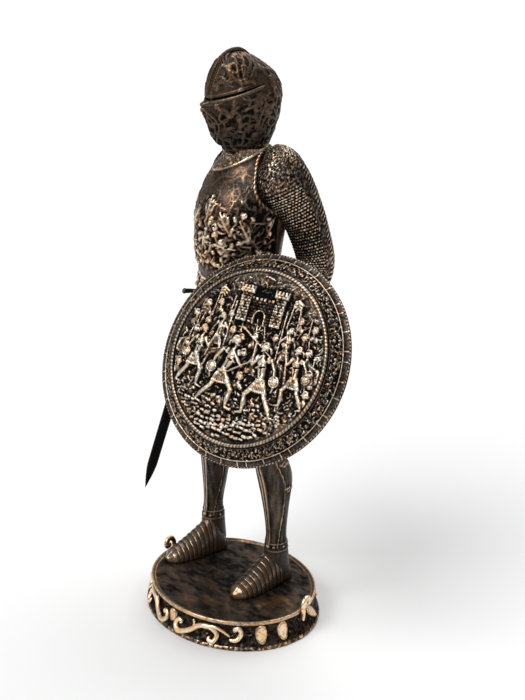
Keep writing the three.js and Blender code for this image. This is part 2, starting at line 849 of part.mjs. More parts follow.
// A keep between two towers.
function keep(x, y, width, height) {
  const wall = (from, to, base, top, rise) => {
    const middle = vector((from + to) / 2, (base + top) / 2, fieldHeight + (rise - 1) / 2);
    const geometry = new THREE.BoxGeometry(to - from, top - base, rise + 1);
    return solid(geometry.translate(middle.x, middle.y, middle.z));
  };
  const pieces = [wall(x - width / 2, x + width / 2, y, y + height, reliefRise * 0.6)];
  for (const side of [-1, 1]) {
    const tower = x + side * width * 0.6;
    const half = width * 0.17;
    const cap = half * 1.4;
    const [capLow, capHigh] = [y + height * 1.25, y + height * 1.45];
    pieces.push(wall(tower - half, tower + half, y, y + height * 1.3, reliefRise));
    pieces.push(wall(tower - cap, tower + cap, capLow, capHigh, reliefRise * 1.25));
  }
  return pieces;
}

function shieldRelief() {
  const raised = { stride: 0.17, lean: 0.04, hand: [0.27, 0.86], tip: [0.36, 1.2] };
  const lowered = { stride: 0.21, lean: 0.09, hand: [0.26, 0.62], tip: [0.56, 0.82] };
  const lifted = { stride: 0.19, lean: 0.05, hand: [0.22, 0.98], tip: [0.5, 1.14] };
  const upright = { stride: 0.12, lean: 0, hand: [0.2, 0.66], tip: [0.22, 1.3] };
  const pieces = keep(1, 19, 19, 13);
  pieces.push(...soldier(-22, -6, 27, 1, upright));
  pieces.push(...soldier(24, -6, 27, -1, upright));
  pieces.push(...soldier(-33, -23, 35, 1, raised));
  pieces.push(...soldier(34, -22, 34, -1, raised));
  pieces.push(...soldier(-12, -31, 41, 1, lowered));
  pieces.push(...soldier(14, -31, 41, -1, lifted));
  const mound = (t) => 0.5 + Math.sin(Math.PI * t);
  for (const [x, y, half] of [[0, -38, 24], [2, -43, 15]]) {
    pieces.push(stroke([[x - half, y], [x, y - 1], [x + half, y]], 1.8, mound));
  }
  return pieces;
}

// The bar that the left hand holds, and the two posts that carry it.
const gripUp = 6;
const gripDepth = -8 - clearance;

function handle() {
  const half = strapSpan / 2;
  const post = (x) => [
    vector(x, gripUp, gripDepth),
    vector(x * 1.12, gripUp, gripDepth + 6),
    vector(x * 1.15, gripUp, fieldHeight - 1),
  ];
  const grip = [vector(-half - 1, gripUp, gripDepth), vector(half + 1, gripUp, gripDepth)];
  return [grip, post(-half), post(half)].map((line) => cord(line, strapRadius, { sides: 7 }));
}

const gripPoint = vector(0, gripUp, gripDepth);
const shieldFrame = new THREE.Matrix4().makeBasis(shieldRight, shieldUp, shieldNormal);
shieldFrame.setPosition(inWorld(leftFist).sub(gripPoint.clone().applyMatrix4(shieldFrame)));

function shield() {
  return place(join(shieldBody(), handle(), shieldRelief()), shieldFrame);
}

// Sword, in its own frame: z towards the point, x across the blade, origin in the middle of the grip.
function sword() {
  const half = bladeWidth / 2;
  const thin = bladeThickness / 2;
  const start = gripLength / 2 + guardThickness / 2;
  const taper = 0.86;
  const bladeRow = (z, width, depth) => [
    vector(width, 0, z),
    vector(0, depth, z),
    vector(-width, 0, z),
    vector(0, -depth, z),
  ];
  const blade = skin([
    bladeRow(start - 1, half, thin),
    bladeRow(start + bladeLength - pointLength, half * taper, thin * taper),
    bladeRow(start + bladeLength, 0.35, 0.35),
  ]);
  const gripLine = [vector(0, 0, -gripLength / 2 - 1), vector(0, 0, gripLength / 2 + 1)];
  const grip = cord(gripLine, gripRadius, { sides: 8 });
  const guardLine = [];
  for (let i = 0; i <= 6; i++) {
    const across = i / 3 - 1;
    guardLine.push(vector((guardSpan / 2) * across, 0, gripLength / 2 + 2.4 * across ** 2));
  }
  const flared = (t) => 0.85 + 0.5 * Math.abs(2 * t - 1) ** 3;
  const guard = cord(guardLine, guardThickness / 2, { sides: 5, taper: flared });
  const pommel = ball(
    vector(0, 0, -gripLength / 2 - pommelRadius * 0.6),
    [pommelRadius, pommelRadius * 0.8, pommelRadius],
  );
  return join(blade, grip, guard, pommel);
}

const swordFrame = new THREE.Matrix4().makeBasis(
  vector(0, -Math.cos(radians(swordLean)), Math.sin(radians(swordLean))),
  vector(1, 0, 0),
  swordDown,
);
swordFrame.setPosition(inWorld(rightFist));

const gripHoleLength = 40;

function gripHole(from, along, radius) {
  const reach = along.clone().multiplyScalar(gripHoleLength / 2);
  const sides = 8;
  const wide = (radius + clearance) / Math.cos(Math.PI / sides);
  return cord([from.clone().sub(reach), from.clone().add(reach)], wide, { sides });
}

const finish = (color, metalness, roughness) =>
  new THREE.MeshStandardMaterial({ color, metalness, roughness });
const bronze = finish(0x5a4632, 0.6, 0.5);
const darkBronze = finish(0x3a2f24, 0.55, 0.55);
const steel = finish(0x24221c, 0.5, 0.55);

const knight = new THREE.Group();
const held = figure()
  .subtract(gripHole(inWorld(rightFist), swordDown, gripRadius))
  .subtract(gripHole(inWorld(leftFist), shieldRight, strapRadius));
knight.add(mesh("plinth", plinth(), darkBronze));
knight.add(mesh("figure", held, bronze));
knight.add(mesh("shield", shield(), bronze));
knight.add(mesh("sword", place(sword(), swordFrame), steel));

export default knight;
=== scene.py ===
import math

import bpy
import numpy as np
from mathutils import Matrix


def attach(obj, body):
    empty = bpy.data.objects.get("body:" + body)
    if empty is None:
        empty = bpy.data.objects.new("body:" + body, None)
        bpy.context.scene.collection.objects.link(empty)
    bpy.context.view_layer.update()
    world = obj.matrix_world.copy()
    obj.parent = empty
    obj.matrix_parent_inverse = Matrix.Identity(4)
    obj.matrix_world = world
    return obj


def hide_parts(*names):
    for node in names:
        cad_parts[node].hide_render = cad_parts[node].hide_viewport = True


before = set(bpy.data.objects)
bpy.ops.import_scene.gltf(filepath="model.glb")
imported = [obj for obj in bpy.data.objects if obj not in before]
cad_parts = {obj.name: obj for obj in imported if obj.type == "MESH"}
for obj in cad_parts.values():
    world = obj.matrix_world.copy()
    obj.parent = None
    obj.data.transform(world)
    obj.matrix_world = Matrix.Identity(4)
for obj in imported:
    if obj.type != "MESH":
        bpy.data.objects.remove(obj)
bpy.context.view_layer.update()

# Sizes are in millimetres, in the frame's axes. Round a form, its left side is at 0 degrees and its
# front at 270. FINE scales the number of points in each grid.
FINE = 1.0
UP = np.array([0.0, 0, 1])
TURN = 2 * math.pi
FRONT = 270


def steps(count):
    return max(8, int(round(count * FINE)))


def round_angles(count):
    return np.linspace(0, TURN, count, endpoint=False)


def unit(v):
    return v / np.maximum(np.linalg.norm(v, axis=-1, keepdims=True), 1e-9)


def rows_at(rows, t):
    """Smooth rows between the rows of a table."""
    rows, t = np.asarray(rows, float), np.asarray(t, float)
    last = len(rows) - 1
    i = np.clip(np.floor(t).astype(int), 0, last - 1)
    f = (t - i)[:, None]
    a, b = rows[np.maximum(i - 1, 0)], rows[i]
    c, d = rows[i + 1], rows[np.minimum(i + 2, last)]
    curve = 2 * b + (c - a) * f + (2 * a - 5 * b + 4 * c - d) * f**2 + (3 * b - a - 3 * c + d) * f**3
    return 0.5 * curve


def straight_rows_at(rows, t):
    """Rows on straight lines between the rows of a table."""
    return np.stack([np.interp(t, np.arange(len(rows)), column) for column in np.transpose(rows)], 1)


def slope(value, start, end):
    """0 at the start, 1 at the end, straight between them and held beyond them."""
    return np.clip((value - start) / (end - start), 0, 1)


def hump(value, middle, width):
    """1 at the middle, falling smoothly to 0 on both sides."""
    return np.exp(-(((value - middle) / width) ** 2))


def noise(points, size, seed):
    """Smooth noise from -1 to 1 over space, with cells of that size."""
    q = points / size
    cell = np.floor(q).astype(np.int64)
    f = q - cell
    f = f * f * (3 - 2 * f)
    total = np.zeros(points.shape[:-1])
    for corner in np.ndindex(2, 2, 2):
        key = (cell[..., 0] + corner[0]) * 73856093 ^ (cell[..., 1] + corner[1]) * 19349663
        key ^= (cell[..., 2] + corner[2]) * 83492791 ^ (seed * 2654435761)
        key = (key ^ (key >> 13)) * 1274126177
        value = ((key ^ (key >> 16)) & 0xFFFF) / 32767.5 - 1
        total += value * np.prod(np.abs(1 - np.array(corner) - f), axis=-1)
    return total


def grain(points, *layers):
    """Noise in layers, each with a strength, a cell size and a seed."""
    return sum(strength * noise(points, size, seed) for strength, size, seed in layers)


def running_mean(field, reach, axis, wrap):
    if reach < 1:
        return field
    pad = [(0, 0), (0, 0)]
    pad[axis] = (reach + 1, reach)
    total = np.cumsum(np.pad(field, pad, mode="wrap" if wrap else "edge"), axis=axis)
    wide, size = 2 * reach + 1, field.shape[axis]
    high = np.take(total, np.arange(wide, wide + size), axis=axis)
    return (high - np.take(total, np.arange(size), axis=axis)) / wide


def blur(field, across, along, closed):
    for _ in range(2):
        field = running_mean(running_mean(field, across, 1, closed), along, 0, False)
    return field


class Patch:
    """A grid of points with relief laid on it along its normals, and extra tone on its points: wear, and in
    places painted light and shade.
    """

    def __init__(self, points, closed=True, outward=None):
        self.points, self.closed = points, closed
        if closed:
            across = np.roll(points, -1, 1) - np.roll(points, 1, 1)
        else:
            across = np.gradient(points, axis=1)
        normals = unit(np.cross(across, np.gradient(points, axis=0)))
        if outward is None:
            outward = points - points.mean(axis=1, keepdims=True)
        self.flipped = (normals * outward).sum() < 0
        self.normals = -normals if self.flipped else normals
        self.relief = np.zeros(points.shape[:2])
        self.extra = np.zeros(points.shape[:2])
        self.flat = points.reshape(-1, 3)

    def fill(self, where, relief):
        self.relief = np.where(where, relief, self.relief)

    def near(self, line, reach):
        low, high = line.min(0) - reach, line.max(0) + reach
        return np.nonzero(((self.flat > low) & (self.flat < high)).all(1))[0]

    def stroke(self, line, radius, height, cut=False):
        """A rounded stroke along a line. With cut, a rounded groove."""
        line = np.asarray(line, float)
        if len(line) == 1:
            line = np.vstack([line, line + 0.01])
        radius = np.broadcast_to(np.asarray(radius, float), (len(line),))
        height = np.broadcast_to(np.asarray(height, float), (len(line),))
        near = self.near(line, radius.max())
        if not len(near):
            return
        spots = self.flat[near]
        best = np.zeros(len(near))
        for i in range(len(line) - 1):
            start, run = line[i], line[i + 1] - line[i]
            t = np.clip((spots - start) @ run / max(run @ run, 1e-9), 0, 1)
            away = np.linalg.norm(spots - start - t[:, None] * run, axis=1)
            reach = np.maximum(radius[i] + (radius[i + 1] - radius[i]) * t, 1e-6)
            rise = height[i] + (height[i + 1] - height[i]) * t
            best = np.maximum(best, rise * np.sqrt(np.clip(1 - (away / reach) ** 2, 0, 1)))
        relief = self.relief.reshape(-1)
        here = relief[near]
        carved = np.minimum(here, 0.3 * np.maximum(here, 0) - best) if cut else np.maximum(here, best)
        relief[near] = np.where(best > 0, carved, here)

    def wear_and_painted_light(self, gain, reach):
        """How far each point stands out from what is round it, as 0 to 1 about a half, with its extra tone
        added: wear, and in places painted light and shade.
        """
        spacing = [np.median(np.linalg.norm(np.diff(self.points, axis=axis), axis=2)) for axis in (1, 0)]
        total = 0
        for size, share in ((reach, 0.6), (reach * 2.6, 0.4)):
            cells = [max(1, int(round(size / max(step, 1e-3)))) for step in spacing]
            proud = self.relief - blur(self.relief, *cells, self.closed)
            total = total + share * proud / (0.32 * size**0.5)
        return np.clip(0.5 + 0.5 * gain * total + self.extra, 0, 1)

    def part(self, gain=1.0, reach=1.3, low_cap=True, high_cap=True):
        points = self.points + self.normals * self.relief[..., None]
        return points, self.wear_and_painted_light(gain, reach), self.closed, self.flipped, low_cap, high_cap


def tube(line, radius, sides=12, count=40, lift=UP, wear_and_side_light=0.42):
    """A closed tube along a smooth line, with painted light on the side that faces lift and painted shade
    on the far side.
    """
    line = np.asarray(line, float)
    radius = np.broadcast_to(np.asarray(radius, float), (len(line),))
    t = np.linspace(0, len(line) - 1, steps(count))
    path = rows_at(line, t)
    size = rows_at(radius[:, None], t)[:, 0]
    run = unit(np.gradient(path, axis=0))
    side = unit(np.cross(run, np.broadcast_to(lift, path.shape) + 1e-4))
    out = np.cross(side, run)
    end = np.sqrt(np.clip(1 - np.abs(np.linspace(-1, 1, len(t))) ** 14, 0.02, 1))
    angle = round_angles(sides)
    ring = side[:, None] * np.cos(angle)[None, :, None] + out[:, None] * np.sin(angle)[None, :, None]
    patch = Patch(path[:, None] + ring * (size * end)[:, None, None])
    # Painted light on the side that faces lift, painted shade on the far side.
    patch.extra = wear_and_side_light * np.sin(angle)[None] * np.ones((len(t), 1))
    return patch


def dome(at, across, along, out):
    """A half ellipsoid on a surface: half sizes across, along and out, as vectors."""
    angle = round_angles(20)
    rise = np.linspace(-0.35, 1, 9)
    share = np.sqrt(np.clip(1 - rise**2, 0.0004, 1))
    ring = across * np.cos(angle)[:, None] + along * np.sin(angle)[:, None]
    patch = Patch(at + share[:, None, None] * ring[None] + rise[:, None, None] * out)
    patch.extra = (0.4 * rise)[:, None] + 0 * angle
    return patch.part()


class Faces:
    """Points, their wear and painted light, and the faces on them, gathered from many grids."""

    def __init__(self):
        self.points, self.wear_and_painted_light, self.corners, self.starts = [], [], [], []
        self.point_count = self.corner_count = 0

    def add_points(self, points, wear_and_painted_light):
        self.points.append(points.reshape(-1, 3))
        self.wear_and_painted_light.append(wear_and_painted_light.reshape(-1))
        self.point_count += wear_and_painted_light.size

    def add_faces(self, faces):
        self.corners.append(faces.reshape(-1))
        self.starts.append(self.corner_count + faces.shape[1] * np.arange(len(faces)))
        self.corner_count += faces.size

    def add_grid(self, points, wear_and_painted_light, closed, flipped, low_cap, high_cap):
        """The grid's squares, and a fan over each end that is capped."""
        index = np.arange(wear_and_painted_light.size).reshape(wear_and_painted_light.shape) + self.point_count
        turned = np.roll(index, -1, 1)
        if not closed:
            index, turned = index[:, :-1], turned[:, :-1]
        squares = np.stack([index[:-1], turned[:-1], turned[1:], index[1:]], -1).reshape(-1, 4)
        self.add_points(points, wear_and_painted_light)
        self.add_faces(squares[:, ::-1] if flipped else squares)
        for end, capped, over in ((0, low_cap, flipped), (-1, high_cap, not flipped)):
            if capped:
                pair = (index[end], turned[end]) if over else (turned[end], index[end])
                self.add_faces(np.stack([np.full(len(pair[0]), self.point_count), *pair], -1))
                self.add_points(points[end].mean(0), wear_and_painted_light[end].mean())


def build(name, parts, material, nodes):
    """One object of all the grids, closed at their ends, with the wear and painted light of each point."""
    faces = Faces()
    for part in parts:
        faces.add_grid(*part)
    mesh = bpy.data.meshes.new(name)
    mesh.vertices.add(faces.point_count)
    mesh.vertices.foreach_set("co", (np.concatenate(faces.points) * 0.001).astype(np.float32).ravel())
    mesh.loops.add(faces.corner_count)
    mesh.loops.foreach_set("vertex_index", np.concatenate(faces.corners).astype(np.int32))
    starts = np.concatenate(faces.starts).astype(np.int32)
    mesh.polygons.add(len(starts))
    mesh.polygons.foreach_set("loop_start", starts)
    mesh.update(calc_edges=True)
    mesh.validate()
    mesh.polygons.foreach_set("use_smooth", np.ones(len(mesh.polygons), bool))
    layer = mesh.attributes.new("wear_and_painted_light", "FLOAT", "POINT")
    layer.data.foreach_set("value", np.concatenate(faces.wear_and_painted_light).astype(np.float32))
    mesh.materials.append(material)
    piece = bpy.data.objects.new(name, mesh)
    bpy.context.scene.collection.objects.link(piece)
    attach(piece, "root")
    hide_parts(*nodes)


# Materials.


class NodeTree:
    """Short calls that add a material's nodes. An input takes a value or another node's output."""

    def __init__(self, material):
        material.use_nodes = True
        self.nodes, self.links = material.node_tree.nodes, material.node_tree.links
        self.shader = self.nodes["Principled BSDF"]

    def plug(self, node, inputs):
        for key, value in inputs.items():
            if isinstance(value, bpy.types.NodeSocket):
                self.links.new(value, node.inputs[key])
            else:
                node.inputs[key].default_value = value

    def add(self, kind, inputs, output=0, **settings):
        node = self.nodes.new(kind)
        for name, value in settings.items():
            setattr(node, name, value)
        self.plug(node, inputs)
        return node.outputs[output]

    def maths(self, operation, a, b):
        return self.add("ShaderNodeMath", {0: a, 1: b}, operation=operation)

    def remap(self, value, low, high, to_low, to_high):
        ends = {"From Min": low, "From Max": high, "To Min": to_low, "To Max": to_high}
        return self.add("ShaderNodeMapRange", {"Value": value, **ends}, "Result")

    def mix(self, share, low, high, **settings):
        return self.add("ShaderNodeMixRGB", {"Fac": share, "Color1": low, "Color2": high}, **settings)

    def ramp(self, value, stops):
        colour = self.add("ShaderNodeValToRGB", {"Fac": value}, "Color")
        elements = colour.node.color_ramp.elements
        elements[0].position, elements[1].position = stops[0][0], stops[-1][0]
        for position, _ in stops[1:-1]:
            elements.new(position)
        for element, (_, tone) in zip(elements, stops):
            element.color = (*tone, 1)
        return colour


BLACK = (0.0016, 0.0014, 0.0013)
BRIGHT = 1.3
TONES_AT = (0.28, 0.48, 0.68, 0.95)
COOL, WARM = (0.99, 1.04, 1.14, 1), (1.1, 0.9, 0.74, 1)
# Scale, detail and roughness of the broad patches, the fine grit and the coppery stains.
TEXTURES = ((45.0, 3.0, 0.55), (700.0, 4.0, 0.62), (150.0, 3.0, 0.6))


def bronze(name, *tones, lift=0.0, contrast=1.0, patches=0.3, grit=0.5, gloss=0.32, metal=0.75, shine=0.5):
    """Antique bronze by wear and painted light: near black in the hollows, then brown, copper and rubbed
    gold.
    """
    material = bpy.data.materials.new(name)
    tree = NodeTree(material)
    place = tree.add("ShaderNodeTexCoord", {}, "Object")
    broad, fine, copper = (
        tree.add(
            "ShaderNodeTexNoise",
            {"Vector": place, "Scale": scale, "Detail": detail, "Roughness": rough}, "Fac",
        )
        for scale, detail, rough in TEXTURES
    )
    wear_and_painted_light = tree.add("ShaderNodeAttribute", {}, "Fac", attribute_name="wear_and_painted_light")
    level = tree.maths("SUBTRACT", wear_and_painted_light, 0.5)
    level = tree.maths("MULTIPLY", level, contrast)
    level = tree.maths("ADD", level, 0.5 + lift)
    for texture, share in ((broad, patches), (fine, grit)):
        spread = tree.maths("SUBTRACT", texture, 0.5)
        level = tree.maths("ADD", level, tree.maths("MULTIPLY", spread, share))
    stops = [(at, [BRIGHT * part for part in tone]) for at, tone in zip(TONES_AT, (BLACK, *tones))]
    tint = tree.mix(tree.remap(copper, 0.42, 0.62, 0.0, 1.0), COOL, WARM)
    look = {"Base Color": tree.mix(1.0, tree.ramp(level, stops), tint, blend_type="MULTIPLY")}
    for socket, low, high, dull, rubbed in (("Metallic", 0.36, 0.62, 0.0, metal),
                                            ("Specular IOR Level", 0.34, 0.58, 0.04, shine),
                                            ("Roughness", 0.34, 0.7, 0.6, gloss)):
        look[socket] = tree.remap(level, low, high, dull, rubbed)
    bump = {"Strength": 0.3, "Distance": 0.00015, "Height": fine}
    look["Normal"] = tree.add("ShaderNodeBump", bump, "Normal")
    tree.plug(tree.shader, look)
    return material


figure_bronze = bronze("figure_bronze", (0.026, 0.017, 0.011), (0.15, 0.1, 0.064), (0.64, 0.51, 0.36))
helmet_bronze = bronze(
    "helmet_bronze", (0.022, 0.0135, 0.0075), (0.075, 0.047, 0.027), (0.2, 0.13, 0.075),
    lift=0.03, gloss=0.34,
)
mail_bronze = bronze(
    "mail_bronze", (0.016, 0.011, 0.008), (0.15, 0.108, 0.072), (0.62, 0.5, 0.36),
    contrast=1.5, grit=0.8,
)
leg_bronze = bronze(
    "leg_bronze", (0.028, 0.022, 0.017), (0.12, 0.08, 0.05), (0.42, 0.33, 0.23),
    lift=-0.01, patches=0.16, grit=0.3, gloss=0.24,
)
shield_bronze = bronze(
    "shield_bronze", (0.024, 0.018, 0.0125), (0.135, 0.1, 0.069), (0.55, 0.46, 0.35),
    contrast=1.06, patches=0.34, grit=0.7,
)
plinth_bronze = bronze(
    "plinth_bronze", (0.028, 0.018, 0.011), (0.17, 0.105, 0.06), (0.78, 0.59, 0.38), gloss=0.3
)
floor_bronze = bronze(
    "floor_bronze", (0.011, 0.0065, 0.003), (0.045, 0.023, 0.008), (0.15, 0.085, 0.034),
    lift=-0.04, patches=0.6, grit=0.35, gloss=0.3, metal=0.6, shine=0.25,
)
sword_dark = bronze(
    "sword_dark", (0.005, 0.0045, 0.004), (0.011, 0.01, 0.008), (0.08, 0.074, 0.06),
    patches=0.2, grit=0.2, gloss=0.42, metal=0.3, shine=0.2,
)


# Forms. The figure's sizes start from BODY, where it stands on the plinth.

PLINTH_HEIGHT, CLEARANCE = 17.4, 0.3
BODY = np.array([-11.0, 16.0, PLINTH_HEIGHT + CLEARANCE])


class Column:
    """A standing form with level oval sections. A row is height, half width, depth in front, depth
    behind, sharpness in front, sharpness behind and how far the middle lies back."""

    def __init__(self, rows, place=np.eye(4)):
        self.rows = np.asarray(rows, float)
        self.place = place
        self.t = np.linspace(0, len(rows) - 1, 1500)
        self.heights = rows_at(rows, self.t)[:, 0]

    def row(self, height):
        return rows_at(self.rows, np.interp(np.atleast_1d(height), self.heights, self.t))

    def local(self, angle, height, swell=0.0):
        angle, height, swell = np.broadcast_arrays(np.asarray(angle, float), height, swell)
        row = self.row(height.ravel()).reshape(angle.shape + (7,))
        c, s = np.cos(angle), np.sin(angle)
        power = 2 / np.where(s < 0, row[..., 4], row[..., 5])
        across = (row[..., 1] + swell) * np.sign(c) * np.abs(c) ** power
        along = np.where(s < 0, row[..., 2] + swell, -row[..., 3] - swell) * np.abs(s) ** power
        return np.stack([across, row[..., 6] - along, height + 0 * across], -1)

    def placed(self, points):
        return points @ self.place[:3, :3].T + self.place[:3, 3] + BODY

    def surface(self, angle, height, swell=0.0):
        return self.placed(self.local(angle, height, swell))

    def grid(self, count, sides, low=None, high=None):
        low = self.heights[0] if low is None else low
        high = self.heights[-1] if high is None else high
        heights, angles = np.linspace(low, high, count), round_angles(sides)
        return self.surface(angles[None], heights[:, None]), angles, heights

    def lay(self, degrees, height, flat, turn=0.0):
        """Flat points laid on the form about a place."""
        flat = np.asarray(flat, float)
        c, s = math.cos(turn), math.sin(turn)
        x, y = c * flat[:, 0] - s * flat[:, 1], s * flat[:, 0] + c * flat[:, 1]
        wide = 0.5 * (self.row(height)[0][1] + self.row(height)[0][2])
        levels = np.clip(height + y, self.heights[0], self.heights[-1])
        return self.surface(math.radians(degrees) + x / wide, levels)

    def edge(self, above, angles):
        """The line round the form where above(point) turns positive."""
        low = np.full(len(angles), self.heights[0])
        high = np.full(len(angles), self.heights[-1])
        for _ in range(24):
            middle = (low + high) / 2
            under = above(self.local(angles, middle)) < 0
            low, high = np.where(under, middle, low), np.where(under, high, middle)
        return self.surface(angles, (low + high) / 2)


def limb(rows, count, sides):
    """A limb along a bent line: rows of x, y, z, half width, depth in front and depth behind."""
    fine = rows_at(rows, np.linspace(0, len(rows) - 1, count))
    centre = fine[:, :3] + BODY
    run = unit(np.gradient(centre, axis=0))
    for _ in range(3):
        run[1:-1] = unit(run[:-2] + 2 * run[1:-1] + run[2:])
    side = unit(np.cross([0.0, -1, 0], run))
    ahead = unit(np.cross(run, side))
    angle = round_angles(sides)
    along = np.where(np.sin(angle) < 0, -fine[:, 4:5], -fine[:, 5:6]) * np.sin(angle)
    points = centre[:, None] + side[:, None] * (fine[:, 3:4] * np.cos(angle))[..., None]
    patch = Patch(points + ahead[:, None] * along[..., None])
    far = np.concatenate([[0], np.cumsum(np.linalg.norm(np.diff(centre, axis=0), axis=1))])
    return patch, far, angle


def tendril(root, way, long, curl, count=5):
    """A curling line in the flat."""
    s = np.linspace(0, 1, count)
    angle = way + curl * s
    return np.array(root) + long * np.stack([s * np.cos(angle), s * np.sin(angle)], 1)


def vines(form, patch, places, seed, thick, rise, buds):
    """Bent stems, each at degrees, height and size and turned its own way, with side shoots and buds."""
    rng = np.random.default_rng(seed)
    t = np.linspace(-1, 1, 9)
    for degrees, height, size in places:
        turn, bend = rng.uniform(0, TURN), rng.uniform(0.6, 1.4) * rng.choice([-1, 1])
        tall = rise * rng.uniform(0.7, 1.15)
        stem = np.stack([0.62 * size * t, 0.26 * size * bend * np.sin(2.6 * t)], 1)
        patch.stroke(form.lay(degrees, height, stem, turn), thick * (1.15 - 0.55 * np.abs(t)), tall)
        for _ in range(3):
            root = stem[rng.integers(1, 8)]
            way, long = rng.uniform(0, TURN), size * rng.uniform(0.3, 0.6)
            shoot = form.lay(degrees, height, tendril(root, way, long, rng.uniform(-1.2, 1.2)), turn)
            width = thick * rng.uniform(0.6, 1.1) * np.linspace(1, 0.4, 5)
            patch.stroke(shoot, width, tall * rng.uniform(0.6, 1.15))
        if rng.random() < buds:
            bud = form.lay(degrees, height, tendril(stem[0], rng.uniform(0, TURN), 1.6, 0.5, 3), turn)
            patch.stroke(bud, thick * rng.uniform(1.3, 2.7) * np.array([1, 0.9, 0.5]), tall * 1.35)


def acanthus(form, patch, degrees, height, long, lean, rise):
    """A leaf with a rib and four pairs of lobes."""
    way = np.array([-math.sin(lean), math.cos(lean)])
    side = np.array([way[1], -way[0]])
    rib = np.linspace(-0.5, 0.5, 7)[:, None] * long * way
    for root, reach, share in zip(rib[1:], (0.24, 0.3, 0.26, 0.17), (0.75, 0.85, 0.6, 0.75)):
        for hand in (-1, 1):
            lobe = [root + long * reach * (a * way + b * hand * side)
                    for a, b in ((0, 0), (0.35, 0.6), (1.05, 0.85))]
            patch.stroke(form.lay(degrees, height, lobe), [1.0, 1.15, 0.3], rise * share)
    patch.stroke(form.lay(degrees, height, rib), [0.6, 0.9, 1.0, 0.95, 0.8, 0.6, 0.3], rise)


MAIL_PITCH, MAIL_RISE = 1.85, 0.6


def mail(patch, far, around):
    """Rows of rings: far is the distance along, around the number of rings round."""
    rows = (far + 0.3 * noise(patch.points, 6.0, 3)) / MAIL_PITCH
    u = (around + 0.5 * (np.floor(rows) % 2) + 0.3 * noise(patch.points, 3.0, 5)) % 1 - 0.5
    v = rows % 1 - 0.5
    bead = np.sqrt(np.clip(1 - (u / 0.55) ** 2 - (v / 0.42) ** 2, 0, 1))
    return MAIL_RISE * (bead - 0.6) + 0.22 * noise(patch.points, 0.8, 4)


def rough_mail(points, seed):
    return grain(points, (0.24, 0.7, seed), (0.24, 0.45, seed + 1)) - 0.05


# Torso.

torso = Column([
    [186, 24, 21, 17, 2, 2, 0],
    [198, 24, 26, 16.5, 1.9, 2, 0],
    [212, 27, 30.5, 17, 1.8, 2, 0],
    [230, 29, 29.5, 18.5, 1.85, 2.2, 0],
    [246, 29.5, 26, 20, 2, 2.3, 1],
    [260, 23.6, 19, 19, 2, 2.3, 2.5],
    [269, 16.6, 14.5, 15, 2, 2.2, 3],
    [276, 14, 12.5, 12, 2, 2, 2.5],
    [285, 12, 11, 10, 2, 2, 1],
])
BELT_HEIGHT, NECK_HEIGHT = 199.5, 276
# Each armhole's middle and reach in degrees, with 1 for the left arm and -1 for the right one.
ARMHOLES = {1: (21, 58), -1: (26, 56)}
ARMHOLE_HEIGHT, ARMHOLE_HALF = 258, 19
# A point and the normal of the planes that end the breastplate in front and behind.
BIB_PLANES = (((-7, -14, 262.5), (-0.25, -0.41, 0.88)), ((0, 16, 270), (0, 0.5, 0.87)))
# Degrees from the middle and height, with the lean of each leaf and the size of each lump.
LEAVES = ((24, 236, -35), (28, 222, -80), (0, 243, 0), (48, 232, -30))
LUMPS = ((14, 233, 2.7), (30, 222, 3.2), (25, 211, 2.5), (43, 231, 2.2), (54, 216, 2.4), (7, 213, 2.3))
FLOWER_HEIGHT = 226


def above_bib(points):
    front, back = ((points - np.array(at)) @ np.array(normal) for at, normal in BIB_PLANES)
    return np.maximum(front, back)


def armhole_line(hand):
    middle, reach = ARMHOLES[hand]
    turn = np.radians(np.linspace(-125, 125, 40))
    height = ARMHOLE_HEIGHT - ARMHOLE_HALF * np.sin(turn)
    local = torso.local(np.radians(middle - reach * np.cos(turn)), height, 0.1)
    return local * np.array([hand, 1, 1]) + BODY


def in_armhole(degrees, height):
    inside = np.zeros(degrees.shape, bool)
    for hand, (middle, reach) in ARMHOLES.items():
        seen = degrees if hand > 0 else 180 - degrees
        seen = (seen - middle + 180) % 360 - 180
        oval = (seen / reach) ** 2 + ((height - ARMHOLE_HEIGHT) / ARMHOLE_HALF) ** 2
        inside |= (oval < 1) & (seen < 40)
    return inside


def scattered(rng, levels, degrees, turn, drift, sizes, stagger=0):
    """Places in uneven rows: degrees, height and size."""
    return [(degree + rng.uniform(-turn, turn) + stagger * (row % 2),
             level + (rng.uniform(-drift, drift) if drift else 0), rng.uniform(*sizes))
            for row, level in enumerate(levels) for degree in degrees]


def chest_vines(patch):
    rng = np.random.default_rng(21)
    waist = scattered(rng, (202, 207), range(190, 350, 16), 5, 0, (5, 8))
    chest = scattered(rng, np.arange(213, 239, 4.4), range(192, 350, 10), 3, 1.5, (4.5, 8), 5)
    upper = scattered(rng, np.arange(239, 262, 5.5), range(200, 345, 13), 4, 2, (6, 10))
    behind = [(degree, FLOWER_HEIGHT + 9 * math.cos(degree), 9.0) for degree in range(20, 180, 20)]
    under = scattered(rng, range(211, 243, 4), range(192, 350, 8), 3, 0, (3, 5))
    fade = [(degree, 243.5 + 3 * math.sin(degree), 6.0) for degree in range(190, 350, 9)]
    vines(torso, patch, under, 17, 0.42, 0.5, 0.5)
    vines(torso, patch, waist + upper + behind, 6, 0.5, 0.2, 0.2)
    vines(torso, patch, chest, 5, 0.8, 1.1, 1.0)
    vines(torso, patch, fade, 12, 0.6, 0.5, 0.5)


